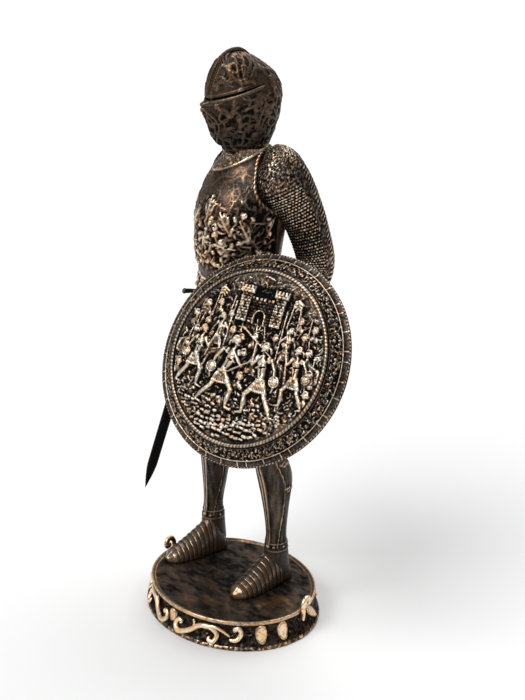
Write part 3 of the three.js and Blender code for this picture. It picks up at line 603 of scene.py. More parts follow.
def chest_relief(patch):
    """Vines all over, and in front mirrored leaves, swirled lumps and a flower of six petals."""
    chest_vines(patch)
    for turn, level, lean in LEAVES:
        for hand in (1, -1) if turn else (1,):
            acanthus(torso, patch, FRONT + hand * turn, level, 13.5, math.radians(-hand * lean), 1.6)
    for turn, level, size in LUMPS:
        for hand in (1, -1):
            at = (FRONT + hand * turn, level)
            patch.stroke(torso.lay(*at, [[0, 0]]), size, 1.5)
            patch.stroke(torso.lay(*at, tendril([0, 0], turn, 0.9 * size, 2.8, 7)), 0.42, 0.2, cut=True)
    for petal in range(6):
        flat = tendril([0, 0], petal * TURN / 6, 4.2, 0.3)
        patch.stroke(torso.lay(FRONT, FLOWER_HEIGHT, flat), [0.6, 1.0, 1.35, 1.1, 0.6], 1.5)
    patch.stroke(torso.lay(FRONT, FLOWER_HEIGHT, [[0, 0]]), 1.5, 2.0)


def twisted(edge, turns, depth, wear_and_side_light):
    """Slanting strands round a tube."""
    length, sides = edge.points.shape[:2]
    twist = np.sin(np.linspace(0, turns * TURN, length)[:, None] + 2 * round_angles(sides)[None])
    edge.relief = depth * twist
    # Half of the tube's painted side light and shade stays, with a lighter tone and the strands' ridges
    # rubbed lighter.
    edge.extra = 0.5 * edge.extra + wear_and_side_light + 0.6 * depth * twist
    return edge.part()


def torso_piece():
    points, angles, heights = torso.grid(steps(190), steps(300))
    patch = Patch(points)
    degrees, height = np.broadcast_arrays(np.degrees(angles)[None], heights[:, None])
    chest_relief(patch)
    patch.relief += 0.05 * noise(points, 3.0, 5)
    bib = above_bib(points - BODY) > 0
    patch.fill(bib, 0.4 + grain(points, (0.3, 1.3, 8), (0.26, 0.7, 9)))
    patch.fill(height > NECK_HEIGHT, 0.3 * np.sin(height * 2.4) + 0.15 * noise(points, 0.8, 10))
    patch.fill(in_armhole(degrees, height) & ~bib, rough_mail(points, 11) - 0.4)
    belt = torso.surface(angles, BELT_HEIGHT)[:: max(1, len(angles) // 90)]
    patch.stroke(np.vstack([belt, belt[:1]]), 1.0, 0.9)
    line = torso.edge(above_bib, round_angles(90))
    line = np.vstack([line, line[:1]])
    patch.stroke(line - 2.1 * UP, 0.5, 0.35, cut=True)
    patch.stroke(line, 0.75, 0.75)
    # Painted shade on the torso's sides under the arms, below the armholes.
    painted_armpit_shade = hump(np.abs(degrees - FRONT), 82, 34) * (height < ARMHOLE_HEIGHT)
    patch.extra = 0.09 - 0.03 * slope(height, 238, 246) + 0.1 * noise(points, 6.0, 13)
    patch.extra += 0.04 * bib - 0.3 * painted_armpit_shade
    parts = [patch.part(0.72, 1.6)]
    for hand in (1, -1):
        edge = tube(armhole_line(hand), 1.15, sides=10, count=300)
        parts.append(twisted(edge, 34, 0.09, 0.02))
    build("breastplate", parts, figure_bronze, ["figure"])


# Helmet, in its own place on the turned and bowed head.


def turned(degrees, axis):
    return np.array(Matrix.Rotation(math.radians(degrees), 4, axis))


skull = np.array(Matrix.Translation((0, 1.5, 275))) @ turned(-15, "Z") @ turned(5, "X")
helmet = Column([
    [-4, 11, 11, 11, 2, 2, 0],
    [2, 12.8, 15.2, 12.8, 1.8, 2, 0],
    [9, 16.6, 20.4, 16, 1.6, 2, 0],
    [18, 19, 24.2, 19, 1.5, 2.1, 0.4],
    [27.6, 20, 27.4, 21, 1.42, 2.1, 0.8],
    [29.6, 20.1, 24.2, 21.2, 1.6, 2.1, 0.9],
    [36, 20, 23.4, 20.6, 1.7, 2.1, 1],
    [43, 18, 20.4, 16.6, 1.8, 2.1, 0.8],
    [49, 14, 16.4, 10, 1.9, 2.1, 0.2],
    [53.4, 8.4, 11.5, 5, 2, 2, -1],
    [55.4, 3, 6, 1.8, 2, 2, -2],
], skull)
VISOR_POINT = np.array([0, -26, 28.4])
VISOR_NORMAL = unit(np.array([0, -0.3, 1]))
SIGHT_LOW, SIGHT_WIDE, SIGHT_GAP = 0.9, 1.3, 3.4
COMB_BAND, COMB_FROM = 5.2, 33


def above_visor(points):
    return (points - VISOR_POINT) @ VISOR_NORMAL


def bezier(a, b, c, d, count):
    t = np.linspace(0, 1, count)[:, None]
    a, b, c, d = (np.asarray(p, float) for p in (a, b, c, d))
    return (1 - t) ** 3 * a + 3 * (1 - t) ** 2 * t * b + 3 * (1 - t) * t**2 * c + t**3 * d


def helmet_vines(patch):
    """Vines all over, apart from the sights and the comb's line in front."""
    rng = np.random.default_rng(11)
    places = []
    for level in np.arange(5, 51, 4.4):
        width = helmet.row(level)[0][1]
        for degree in np.arange(0, 360, 280 / width):
            spot = helmet.local(np.array([math.radians(degree)]), np.array([level]))[0]
            by_sight = -2.5 < above_visor(spot) < 5.5 and spot[1] < 9
            by_comb = abs(degree - FRONT) < 11
            if not (by_sight or by_comb):
                jitter = rng.uniform(-1.5, 1.5)
                places.append((degree + rng.uniform(-5, 5), level + jitter, rng.uniform(5.5, 9)))
    vines(helmet, patch, places, 8, 0.86, 0.72, 0.8)


def visor_panels(patch):
    """On each side of the prow an almond panel, and a bracket by the hinge."""
    t = np.linspace(0, 1, 26)
    wide = helmet.row(16)[0][1]
    bracket = rows_at([[-9, 5], [-3, 8], [1.5, 12], [3.5, 8], [1, 2], [-2, -4]], np.linspace(0, 5, 16))
    for hand in (1, -1):
        for swell, top, drop, radius in ((6.4, 26, 19, 0.75), (4.0, 23.5, 14, 0.5)):
            across = 1.2 + swell * np.sin(math.pi * t) ** 0.8
            angle = np.radians(FRONT + hand * 4) + hand * across / wide
            patch.stroke(helmet.surface(angle, top - drop * t), radius, 0.9)
        patch.stroke(helmet.lay(FRONT + hand * 88, 20, bracket * [hand, 1]), 0.8, 0.9)


def comb_borders(patch):
    """A raised line on each side of the hatched band that the comb stands on."""
    levels = np.linspace(31, 50, 30)
    away = np.arcsin([min(1, COMB_BAND / helmet.row(level)[0][1]) for level in levels])
    for middle in (FRONT, 90):
        for hand in (1, -1):
            patch.stroke(helmet.surface(np.radians(middle) + hand * away, levels), 0.55, 0.6)


def comb_part():
    """The comb: a thin blade from the brow over the top to the back, thicker along its edge."""
    outer = np.vstack([
        bezier((23.6, 33), (20.5, 48), (13, 57.9), (2, 57.9), 110)[:-1],
        bezier((2, 57.9), (-5, 57.5), (-10, 47), (-17, 36), 110),
    ])
    inner = np.vstack([
        bezier((16, 34), (13, 40), (8, 44), (2, 44), 110)[:-1],
        bezier((2, 44), (-6, 44), (-10, 40), (-17, 36), 110),
    ])
    phi = round_angles(34)
    rise = 0.5 - 0.5 * np.cos(phi)
    edge = hump(rise, 0.94, 0.07)
    wide = (1.05 + 0.62 * edge) * np.sign(np.sin(phi)) * np.abs(np.sin(phi)) ** 0.3
    middle = inner[:, None] + (outer - inner)[:, None] * rise[None, :, None]
    blade = np.stack([wide[None] + 0 * middle[..., 0], -middle[..., 0], middle[..., 1]], -1)
    comb = Patch(helmet.placed(blade))
    hatch = np.sin(np.arange(len(blade)) * 1.9)[:, None] * ((rise < 0.85) & (rise > 0.1))[None]
    comb.relief = 0.16 * hatch + 0.1 * noise(comb.points, 0.9, 3)
    comb.extra = 0.12 * edge[None] + 0.26 * hatch
    return comb.part()


def helmet_piece():
    points, angles, heights = helmet.grid(steps(152), steps(264))
    patch = Patch(points)
    helmet_vines(patch)
    visor_panels(patch)
    local = helmet.local(angles[None], heights[:, None])
    over, level, aside = above_visor(local), heights[:, None], np.abs(local[..., 0])
    ahead = slope(local[..., 1], 6, -10)
    sight = (ahead > 0) & (over > SIGHT_LOW) & (over < SIGHT_LOW + SIGHT_WIDE * ahead**0.7)
    patch.fill(sight, -0.9)
    patch.relief += grain(points, (0.05, 2.2, 4), (0.08, 1.0, 6))
    by_comb = (aside < COMB_BAND) & (level > COMB_FROM)
    hatch = by_comb * np.sin(level * 4.4 + 3.0 * aside)
    patch.fill(by_comb, 0.16 * hatch)
    comb_borders(patch)
    # Painted shade darkens the helmet below level 27, most at its lowest rows.
    patch.extra = 0.2 * hatch - 0.3 * sight - 0.13 * slope(level, 27, 12) + 0.05 * noise(points, 6.0, 14)
    for ring in (1.2, 4.2):
        patch.stroke(helmet.surface(np.linspace(0, TURN, 60), ring), 0.5, 0.6)
    parts = [patch.part(0.44, 1.6)]
    for shift, radius, low, high in ((0.0, 1.1, 172, 368), (SIGHT_GAP, 0.45, 196, 344)):
        line = helmet.edge(lambda p: above_visor(p) - shift, np.radians(np.linspace(low, high, 60)))
        ridge = tube(line, radius, sides=12, count=200, wear_and_side_light=0.1)
        ridge.extra += 0.16
        ridge.relief = 0.05 * noise(ridge.points, 1.4, 7)
        parts.append(ridge.part())
    knob = helmet.placed(np.array([0, -26.4, 25.6]))
    parts.append(dome(knob, skull[:3, 0] * 1.6, UP * 1.6, -skull[:3, 1] * 1.2))
    parts.append(comb_part())
    build("closed_helmet", parts, helmet_bronze, ["figure"])


# Arms.

LEFT_FIST = np.array([54.7, -33.1, 170.4])
RIGHT_FIST = np.array([-42.6, 9, 185.3])
LEFT_ARM = [
    [19, 3, 276.8, 4, 4, 4],
    [22, 4, 273.4, 9, 10, 9],
    [24.4, 5.2, 268.6, 12.4, 15, 12.6],
    [27.2, 7.2, 260, 14.3, 18, 14.5],
    [30.4, 11, 250, 14.4, 16.5, 14.4],
    [35, 15.2, 237.5, 13, 13, 13],
    [38.4, 18.6, 224.5, 11.9, 11.9, 11.9],
    [40.4, 20.6, 213, 11.5, 11.5, 11.5],
    [41.4, 19, 204, 11, 11, 10.4],
    [42.2, 11, 197.5, 10.2, 10.2, 9.8],
    [45.5, -5, 188, 8.8, 8.8, 8.6],
    [50.5, -19, 179.5, 7.2, 7.2, 7],
    [53.4, -28, 174, 6.6, 6.6, 6.4],
]
RIGHT_ARM = [
    [-17, 9, 270.4, 4, 4, 4],
    [-19.5, 10.5, 267, 8.4, 8.4, 8.4],
    [-22.5, 12, 261, 11.6, 11.6, 11.6],
    [-28.5, 15.5, 252.5, 13.4, 13.4, 13.4],
    [-37, 21, 244, 13, 13, 13],
    [-48, 29, 235, 11.8, 11.8, 11.6],
    [-57, 34.5, 227, 10.8, 10.8, 10.3],
    [-60.5, 35, 218, 10, 10, 9.8],
    [-59.5, 30, 208.5, 9.2, 9.2, 9.2],
    [-56, 23.5, 199, 7.8, 7.8, 7.8],
    [-51, 16.5, 191.5, 6.8, 6.8, 6.8],
    [-46.5, 11.5, 186.5, 5.8, 5.8, 5.8],
]
ROUGH_UNTIL = 26
FINGER_PITCH, FINGER_RADIUS, PALM_SHIFT = 3.9, 2.15, 0.8
# Rows down the cuff: share of its length and radius.
CUFF = [[0.06, 8], [0, 9.2], [0, 10.3], [0.04, 10.7], [0.12, 10.4], [0.3, 9.3], [0.55, 8.2],
        [0.75, 7.4], [0.85, 7.6], [0.9, 7.2], [0.94, 7], [1, 6.7]]
# A scroll on the cuff: share of its length, turn and radius.
CUFF_SCROLL = ((0.18, 0.1, 10), (0.35, -0.18, 9.2), (0.52, 0.12, 8.4), (0.68, -0.1, 7.8))


def sleeve(rows, count, sides, rings):
    """Mail down the arm, rough at the shoulder, with a ribbed strip down its outer side."""
    patch, far, angle = limb(rows, count, sides)
    far, around = np.broadcast_arrays(far[:, None], angle[None] / TURN * rings)
    rough = slope(far, ROUGH_UNTIL, ROUGH_UNTIL - 8)
    patch.relief = rough * rough_mail(patch.points, 25) + (1 - rough) * mail(patch, far, around) - 0.2
    degrees = (np.degrees(angle)[None] + 180) % 360 - 180
    outer = (np.abs(degrees - 30) < 42) & (far > 14)
    ribs = (outer & (degrees > 8)) * np.sin(far * 2.6 + degrees * 0.18)
    patch.fill(outer, 0.2 * noise(patch.points, 0.9, 27) - 0.2 + 0.12 * ribs)
    shade = 0.13 * slope(far, 20, 52) + 0.14 * np.clip(np.cos(np.radians(degrees + 150)), 0, 1)
    patch.extra = np.where(outer, -0.02 + 0.1 * ribs, 0.03 - shade)
    return patch.part(0.95, 1.0)


def fist(at, axis, toward):
    """A closed gauntlet: four plated fingers and a palm round a grip, and a thumb."""
    side = unit(np.cross(axis, toward))
    front = unit(np.cross(side, axis))
    middle = at + BODY + front * PALM_SHIFT
    turn = np.linspace(0, TURN, 30)
    size = 5.1 + 0.35 * np.cos(2 * turn)
    loop = side * (size * 0.92 * np.cos(turn))[:, None] + front * (size * np.sin(turn))[:, None]
    parts = []
    for i in range(4):
        line = middle + axis * (i - 1.5) * FINGER_PITCH + loop
        finger = tube(line, FINGER_RADIUS, sides=12, count=64, lift=axis)
        seam = np.abs(np.linspace(0, 9, len(finger.points)) % 1 - 0.5) > 0.42
        finger.relief[:] = (-0.35 * seam)[:, None]
        finger.extra = np.where(seam, -0.1, 0.15)[:, None] * np.ones((1, 12))
        parts.append(finger.part())
    parts.append(tube([middle - axis * 7.6, middle + axis * 7.6], 5.6, sides=20, count=24).part())
    thumb = [at + BODY + axis * along - side * across + front * out
             for along, across, out in ((6.5, 0, 5.4), (2.5, 2, 7.0), (-2.5, 5, 4.8))]
    parts.append(tube(thumb, [2.0, 2.1, 1.6], sides=14, count=30).part())
    return parts


def cuff(start, end):
    """The flared cuff of a gauntlet, with a notched edge and seven small scrolls."""
    start, end = np.array(start, float) + BODY, np.array(end, float) + BODY
    side = unit(np.cross(end - start, UP))
    rise = np.cross(side, unit(end - start))
    shares, sizes = straight_rows_at(CUFF, np.linspace(0, len(CUFF) - 1, steps(56))).T
    angles = round_angles(steps(90))

    def at(share, angle, radius):
        radial = np.multiply.outer(np.cos(angle), side) + np.multiply.outer(np.sin(angle), rise)
        return start + share * (end - start) + radius * radial

    patch = Patch(np.stack([at(share, angles, size) for share, size in zip(shares, sizes)]))
    edge = hump(shares, 0.05, 0.05)[:, None]
    patch.relief = 0.2 * edge * np.sin(angles * 34)[None] + 0.16 * noise(patch.points, 1.6, 2) * (1 - edge)
    patch.extra = 0.18 * edge * np.ones((1, len(angles)))
    for turn in round_angles(7):
        line = [at(share, turn + twist, radius) for share, twist, radius in CUFF_SCROLL]
        patch.stroke(line, [0.5, 0.9, 0.9, 0.4], 0.6)
    return patch.part()


def arm_pieces():
    left = [sleeve(LEFT_ARM, steps(270), steps(152), 44)]
    left.append(cuff((47.2, -10, 185), (51.9, -23.5, 176.8)))
    left += fist(LEFT_FIST, S_RIGHT, np.array([0, 0.7, 0.7]))
    build("left_arm", left, mail_bronze, ["figure"])
    right = [sleeve(RIGHT_ARM, steps(150), steps(90), 40)]
    right.append(cuff((-58.4, 27.4, 204.6), (-52.4, 18.6, 193.8)))
    right += fist(RIGHT_FIST, SWORD_DOWN, np.array([-0.5, 0.5, 0.7]))
    build("right_arm", right, mail_bronze, ["figure"])


# Skirt, fauld and tassets.

skirt = Column([
    [139, 32, 26, 25, 2.2, 2.2, 0],
    [150, 32.5, 26.5, 25.5, 2.2, 2.2, 0],
    [165, 31.5, 25.5, 24, 2.2, 2.2, 0],
    [180, 28, 23.5, 21, 2.1, 2.1, 0],
    [192, 24.5, 21.5, 18, 2, 2, 0],
    [200, 22, 20, 16, 2, 2, 0],
])
HEM, SKIRT_TOP = 139.2, 178
# The lower edge of a plate of the fauld: height over it and how far it stands out.
LAME_EDGE = [[0.3, 0.6], [0, 1.2], [0, 1.9], [0.3, 2.3], [0.9, 2.45], [1.4, 2.3], [1.6, 1.9]]
LAME_WAVE = ((0, 3), (0.05, 5), (0.11, 6.4), (0.17, 5), (0.2, 3.4))
TASSET_CURL = ((0, 0.02), (6, 0.06), (10, 0.1), (6, 0.14), (1, 0.12), (3, 0.09))


def lame_part(low):
    """One plate of the fauld, with a worn lower edge and a row of waves."""
    plate = np.stack([np.linspace(1.9, 13, 17), np.linspace(1.85, 0.3, 17)], 1)
    level, swell = np.vstack([LAME_EDGE, plate]).T[..., None]
    angles = round_angles(steps(260))
    lame = Patch(skirt.surface(angles[None], low + level, swell))
    edge = level < 1.5
    lame.relief = edge * 0.14 * np.sin(angles * 130)[None] + 0.06 * noise(lame.points, 2.0, 7)
    lame.extra = 0.14 * edge - 0.1 + 0 * lame.relief
    for turn in round_angles(26):
        wave = [skirt.surface(turn + away, low + rise, 1.3) for away, rise in LAME_WAVE]
        lame.stroke(wave, [0.5, 0.8, 0.9, 0.7, 0.3], 0.4)
    return lame.part(0.7)


def tasset_part(hand):
    """The plate that hangs over a thigh, with a ridge down it and curls on both sides."""
    rows = [[hand * (16 - 1.5 * s), -24.5 - 1.2 * s, 172 - 36 * s,
             10.5 * math.sqrt(1 - (0.9 * s) ** 4), 2.4, 3] for s in np.linspace(0, 1, 9)]
    plate, far, angle = limb(rows, steps(80), steps(60))
    aside, depth = np.cos(angle), np.sin(angle)
    border = np.abs(aside) > 0.9
    plate.relief = 0.3 * border[None] + 0.5 * hump(aside, 0, 0.06)[None] * (depth < 0)[None]
    plate.relief = plate.relief + 0.1 * noise(plate.points, 1.6, 12)
    plate.extra = 0.1 * border[None] + 0 * plate.relief
    for distance in (6, 13.5, 21, 28.5):
        row = int(np.argmin(np.abs(far - distance)))
        for way in (1, -1):
            spots = [(min(row + down, len(far) - 1), int(len(angle) * (0.75 + way * turn)) % len(angle))
                     for down, turn in TASSET_CURL]
            plate.stroke([plate.points[spot] for spot in spots], 0.6, 0.7)
    return plate.part()


def skirt_piece():
    points, angles, heights = skirt.grid(steps(80), steps(230), HEM, SKIRT_TOP)
    patch = Patch(points)
    far, around = np.broadcast_arrays(heights[:, None] - HEM, angles[None] / TURN * 96)
    patch.relief = mail(patch, far, around) - 0.15
    patch.fill(far < 1.6, 0.1 + 0.2 * np.sin(angles * 120)[None])
    parts = [patch.part(), lame_part(168), lame_part(180.5), tasset_part(1), tasset_part(-1)]
    build("mail_skirt", parts, mail_bronze, ["figure"])


# Legs.

LEFT_LEG = [
    [15, 1, 165, 14.5, 15, 15],
    [19, 1, 135, 14, 14, 14],
    [22, 0.3, 108, 11, 11.8, 11],
    [23.5, 0.2, 95, 10.4, 12, 10.6],
    [24.7, 1.6, 84, 9.6, 10.4, 10.8],
    [26.3, 4, 70, 10.8, 9.6, 12.6],
    [27.9, 4.6, 52, 8.2, 8, 8.8],
    [28.9, 4.4, 34, 6.5, 6.4, 6.8],
    [29.1, 4.6, 22, 7.2, 7.8, 8.2],
    [29.1, 5, 6, 7.6, 9.6, 9.8],
]
RIGHT_LEG = [
    [-15, 1, 165, 14.5, 15, 15],
    [-19, 0.5, 135, 14, 14, 14],
    [-22.5, -1.2, 108, 11, 11.8, 11],
    [-24.4, -1.8, 95, 10.4, 12, 10.6],
    [-26.1, -0.6, 84, 9.6, 10.4, 10.8],
    [-27.3, 1.8, 72, 10, 9.6, 11.2],
    [-29.5, 3.4, 52, 8, 8, 8.6],
    [-31, 3.6, 34, 6.4, 6.4, 6.7],
    [-30.9, 3.4, 22, 7.2, 7.8, 8.2],
    [-30.8, 3.4, 6, 7.6, 9.6, 9.8],
]
KNEE_ROW = 3
GREAVE_TOP, ANKLE = 98, 22
# Rows along a shoe: share of its length, half width and height.
SHOE = np.array([[0, 5, 7], [0.07, 7.6, 12], [0.24, 8.4, 23.5], [0.36, 8.8, 20.5], [0.5, 9.4, 16],
                 [0.66, 9.3, 11.4], [0.8, 8.4, 8.4], [0.92, 6.4, 6], [1, 2.2, 2.6]])
SHOE_LAMES, FIRST_LAME, LAST_LAME = 9, 0.22, 0.86


def greave(rows, hand):
    """The leg's plates: a double ridge in front, a curved seam on each side, straps and an ankle band."""
    patch, _, angle = limb(rows, steps(150), steps(92))
    height = patch.points[..., 2] - BODY[2]
    front = (np.degrees(angle)[None] - FRONT + 180) % 360 - 180
    below = slope(height, GREAVE_TOP, GREAVE_TOP - 6) * slope(height, ANKLE, ANKLE + 6)
    ridges = hump(np.abs(front), 7, 4.5)
    streaks = noise(patch.points * np.array([1.0, 1.0, 0.12]), 1.5, 15)
    patch.relief = 0.5 * ridges * below + 0.05 * noise(patch.points, 2.4, 14)
    patch.extra = 0.14 * streaks * below + 0.16 * ridges * below

    def spot(degrees, z):
        row = int(np.argmin(np.abs(height[:, 0] - z)))
        return patch.points[row, int(round(degrees / 360 * len(angle))) % len(angle)]

    for outer, bow in ((0, 1), (180, -1)):
        for shift, radius, rise in ((0, 0.55, 0.4), (4, 0.35, -0.3)):
            seam = [spot(outer - bow * (34 - shift - 30 * math.sin(math.pi * (z - 26) / 74)), z)
                    for z in np.arange(26, 99, 2.5)]
            patch.stroke(seam, radius, abs(rise), cut=rise < 0)
    for z in (78, 62):
        patch.stroke([spot(90 - hand * d, z + 0.05 * d) for d in range(-50, 95, 6)], 0.95, 0.45)
        buckle = [spot(90 - hand * 78, z + 3.9)]
        patch.stroke(buckle, 1.9, 0.9)
        patch.stroke(buckle, 0.8, 0.7, cut=True)
    for z, radius, rise in ((23.4, 0.45, 0.3), (28, 0.6, 0.4), (GREAVE_TOP, 0.7, 0.5)):
        patch.stroke([spot(d, z) for d in range(0, 361, 8)], radius, rise)
    for degrees in (0, 60, 120, 180, 235, 305):
        patch.stroke([spot(degrees, 25.8)], 0.9, 0.6)
    patch.stroke([spot(FRONT, 26)], 1.5, 0.9)
    return patch.part(1.0)


def knee_parts(rows, hand):
    """A ridged cop over the knee, and a wing with rays on its outer side."""
    x, y, z = rows[KNEE_ROW][:3]
    lat = np.linspace(-1.52, 1.52, steps(36))
    lon = round_angles(steps(56))
    ball = np.stack([np.cos(lat)[:, None] * np.cos(lon), np.cos(lat)[:, None] * np.sin(lon),
                     np.sin(lat)[:, None] + 0 * lon], -1)
    cop = Patch(np.array([x, y - 4, z + 1]) + BODY + ball * [10.9, 10.9, 9.9])
    ridge = hump(np.degrees(lon), FRONT, 8)[None]
    bands = np.exp(-((np.abs(np.degrees(lat)) - 38) ** 2 / 14))[:, None]
    cop.relief = 0.5 * ridge + 0.45 * bands + 0.07 * noise(cop.points, 1.6, 17)
    wing = Patch(np.array([x + hand * 10.5, y + 1, z + 1]) + BODY + ball * [2.7, 7, 8])
    wing.relief = 0.35 * hump(np.degrees(np.arctan2(ball[..., 2], ball[..., 1])) % 30, 15, 5)
    return [cop.part(), wing.part()]


def sabaton_part(heel, toe):
    """The shoe: overlapping lames from the ankle to a bright rounded cap, over a flat sole."""
    heel, toe = np.array(heel, float), np.array(toe, float)
    side = np.cross(unit(toe - heel), UP)
    share = np.linspace(0, 1, steps(150))
    shape = rows_at(SHOE, np.interp(share, SHOE[:, 0], np.arange(len(SHOE))))
    phase = (share - FIRST_LAME) / (LAST_LAME - FIRST_LAME) * SHOE_LAMES
    plated = (phase > 0) & (phase < SHOE_LAMES)
    tooth = phase % 1
    swell = np.where(plated, np.where(tooth < 0.9, 0.6 * tooth - 0.3, -0.45), 0.0)
    arc = np.linspace(0, math.pi, steps(50))
    rise = (shape[:, 2] + swell)[:, None] * np.sin(arc)[None] ** 0.85
    across = (shape[:, 1] + swell)[:, None] * np.cos(arc)[None]
    points = heel + BODY + (toe - heel) * share[:, None, None] + side * across[..., None]
    points = points + UP * rise[..., None]
    shoe = Patch(points, outward=UP + 0 * points + side * np.cos(arc)[None, :, None])
    crease = 0.25 * hump(np.degrees(arc), 90, 7)[None]
    shoe.relief = np.clip(rise / 1.5, 0, 1) * (0.05 * noise(points, 1.6, 19) + crease)
    # Each lame is graded from painted shade where it tucks under the lame before to a lighter, rubbed end
    # toward the toe, with a dark joint between lames.
    lames = 0.26 * tooth + 0.01 - 0.42 * (tooth > 0.9) - 0.1 * (tooth < 0.1)
    tone = np.where(plated, lames, 0.24 * slope(share, LAST_LAME, LAST_LAME + 0.04))
    shoe.extra = tone[:, None] + 0 * shoe.relief
    return shoe.part(0.5)


def leg_piece(name, rows, hand, heel, toe):
    parts = [greave(rows, hand), *knee_parts(rows, hand), sabaton_part(heel, toe)]
    build(name, parts, leg_bronze, ["figure"])


# Shield. A point on it is across, up its face and out of its face.

SHIELD_TURN, SHIELD_TILT = math.radians(11.6), math.radians(28.2)
SHIELD_RADIUS, FIELD_RADIUS, FIELD = 61.7, 49.5, 7.8
S_RIGHT = np.array([math.cos(SHIELD_TURN), math.sin(SHIELD_TURN), 0.0])
S_NORMAL = np.array([math.sin(SHIELD_TURN) * math.cos(SHIELD_TILT),
                     -math.cos(SHIELD_TURN) * math.cos(SHIELD_TILT), math.sin(SHIELD_TILT)])
S_UP = np.cross(S_NORMAL, S_RIGHT)
GRIP_UP, GRIP_DEPTH = 6, -8 - CLEARANCE
S_ORIGIN = LEFT_FIST + BODY - GRIP_UP * S_UP - GRIP_DEPTH * S_NORMAL
SWORD_LEAN = math.radians(22.2)
SWORD_DOWN = np.array([0, -math.sin(SWORD_LEAN), -math.cos(SWORD_LEAN)])


def on_shield(flat, out=FIELD):
    flat, out = np.asarray(flat, float), np.asarray(out)[..., None]
    return S_ORIGIN + flat[..., :1] * S_RIGHT + flat[..., 1:2] * S_UP + out * S_NORMAL


def band_height(radius):
    return FIELD * (SHIELD_RADIUS - radius) / (SHIELD_RADIUS - FIELD_RADIUS)


def on_band(radius, degrees):
    radius, angle = np.broadcast_arrays(np.asarray(radius, float), np.radians(degrees))
    return on_shield(np.stack([radius * np.cos(angle), radius * np.sin(angle)], -1), band_height(radius))


class Figure:
    """A soldier of the relief. Places and sizes are shares of the height, forward is where it faces."""

    def __init__(self, patch, x, y, tall, facing, depth=1.0):
        self.patch, self.x, self.y, self.tall, self.facing = patch, x, y, tall, facing
        self.depth = depth * tall / 34

    def put(self, pairs, radius, rise, cut=False):
        pairs = np.asarray(pairs, float) * self.tall
        line = on_shield(np.stack([self.x + self.facing * pairs[:, 0], self.y + pairs[:, 1]], 1))
        self.patch.stroke(line, np.asarray(radius) * self.tall, np.asarray(rise) * self.depth, cut)

    def cape(self, sweep):
        for k in range(6):
            out = -0.1 - 0.055 * k * sweep
            fold = [[-0.04, 0.82], [out, 0.68], [out - 0.05, 0.5], [out - 0.02, 0.34 + 0.035 * k]]
            self.put(fold, [0.026, 0.032, 0.03, 0.012], 0.7 + 0.3 * (k % 2))

    def leg(self, knee, ankle, rise):
        knee, ankle = np.array(knee), np.array(ankle)
        calf = 0.45 * knee + 0.55 * ankle - [0.012, 0]
        self.put([[0.035 * np.sign(knee[0]), 0.47], knee], [0.06, 0.038], [rise, 0.95 * rise])
        self.put([knee, calf, ankle], [0.036, 0.042, 0.021], [0.95 * rise, 0.9 * rise, 0.6 * rise])
        self.put([ankle, ankle + [0.085, -0.022]], [0.024, 0.014], 0.6 * rise)
        self.put([knee - [0.022, 0.01], knee + [0.022, 0.005]], 0.017, 1.08 * rise)

    def skirt(self, hem):
        for a in np.linspace(-1, 1, 9):
            strip = [[0.06 * a, 0.5], [0.095 * a, 0.42], [hem * a, 0.34 - 0.01 * (1 - a * a)]]
            self.put(strip, [0.014, 0.018, 0.017], [1.75, 1.85, 1.6])
        self.put([[-hem, 0.345], [0, 0.33], [hem, 0.345]], 0.011, 1.75)

    def trunk(self, lean):
        self.put([[0, 0.49], [lean * 0.6, 0.62], [lean, 0.74], [lean, 0.81]],
                 [0.062, 0.068, 0.088, 0.05], [1.9, 2.1, 2.4, 2.0])
        self.put([[lean * 0.4, 0.55], [lean * 0.9, 0.71]], 0.009, 0.25, cut=True)
        self.put([[lean - 0.06, 0.68], [lean, 0.655], [lean + 0.06, 0.68]], 0.01, 0.25, cut=True)
        self.put([[-0.065, 0.505], [0.0, 0.49], [0.07, 0.505]], 0.014, 2.3)
        self.put([[-0.07, 0.79], [lean - 0.02, 0.72], [lean + 0.07, 0.64]], 0.011, 2.5)
        for way in (-1, 1):
            self.put([[lean + way * 0.085, 0.8], [lean + way * 0.1, 0.765]], 0.036, 2.2)

    def arm(self, elbow, hand, rise):
        self.put([[0.5 * elbow[0], 0.79], elbow], [0.034, 0.028], rise)
        self.put([elbow, hand], [0.028, 0.019], [rise, 0.9 * rise])
        self.put([hand], 0.026, rise)

    def round_shield(self, at, radius):
        self.put([at], radius, 1.7)
        for share, rise in ((0.86, 1.5), (0.5, 1.75)):
            ring = [[at[0] + share * radius * math.cos(a), at[1] + share * radius * math.sin(a)]
                    for a in np.linspace(0, TURN, 17)]
            self.put(ring, 0.011, rise)
        self.put([at], 0.022, 2.1)

    def spear(self, hand, tip):
        hand, tip = np.array(hand), np.array(tip)
        way = unit(tip - hand)
        self.put([2 * hand - tip, tip], 0.0105, 1.9)
        self.put([tip - 0.07 * way, tip - 0.03 * way, tip + 0.03 * way], [0.008, 0.024, 0.004], 2.0)

    def head(self, lean):
        """A neck, a closed helmet with its bowl and brim, and a crest with a tail."""
        head = np.array([lean + 0.015, 0.92])
        arch = np.linspace(0.5, 3.6, 8)
        crest = np.stack([0.046 * np.cos(arch) - 0.014, 0.026 + 0.056 * np.sin(arch)], 1)
        for pairs, radius, rise in (
            ([[0, -0.08], [0, -0.05]], 0.034, 1.8),
            ([[0, 0]], 0.05, 2.5),
            ([[0.022, -0.025], [0.034, -0.036]], 0.024, 2.35),
            ([[-0.022, 0.026], [0.024, 0.022]], 0.043, 2.8),
            ([[-0.056, -0.024], [-0.046, 0.012], [0.06, 0.01]], 0.011, 2.9),
            (crest, [0.01, 0.016, 0.02, 0.022, 0.022, 0.02, 0.016, 0.008], 2.5),
            ([[-0.05, 0.04], [-0.1, 0.0], [-0.12, -0.06]], [0.018, 0.02, 0.006], 2.0),
        ):
            self.put(head + pairs, radius, rise)


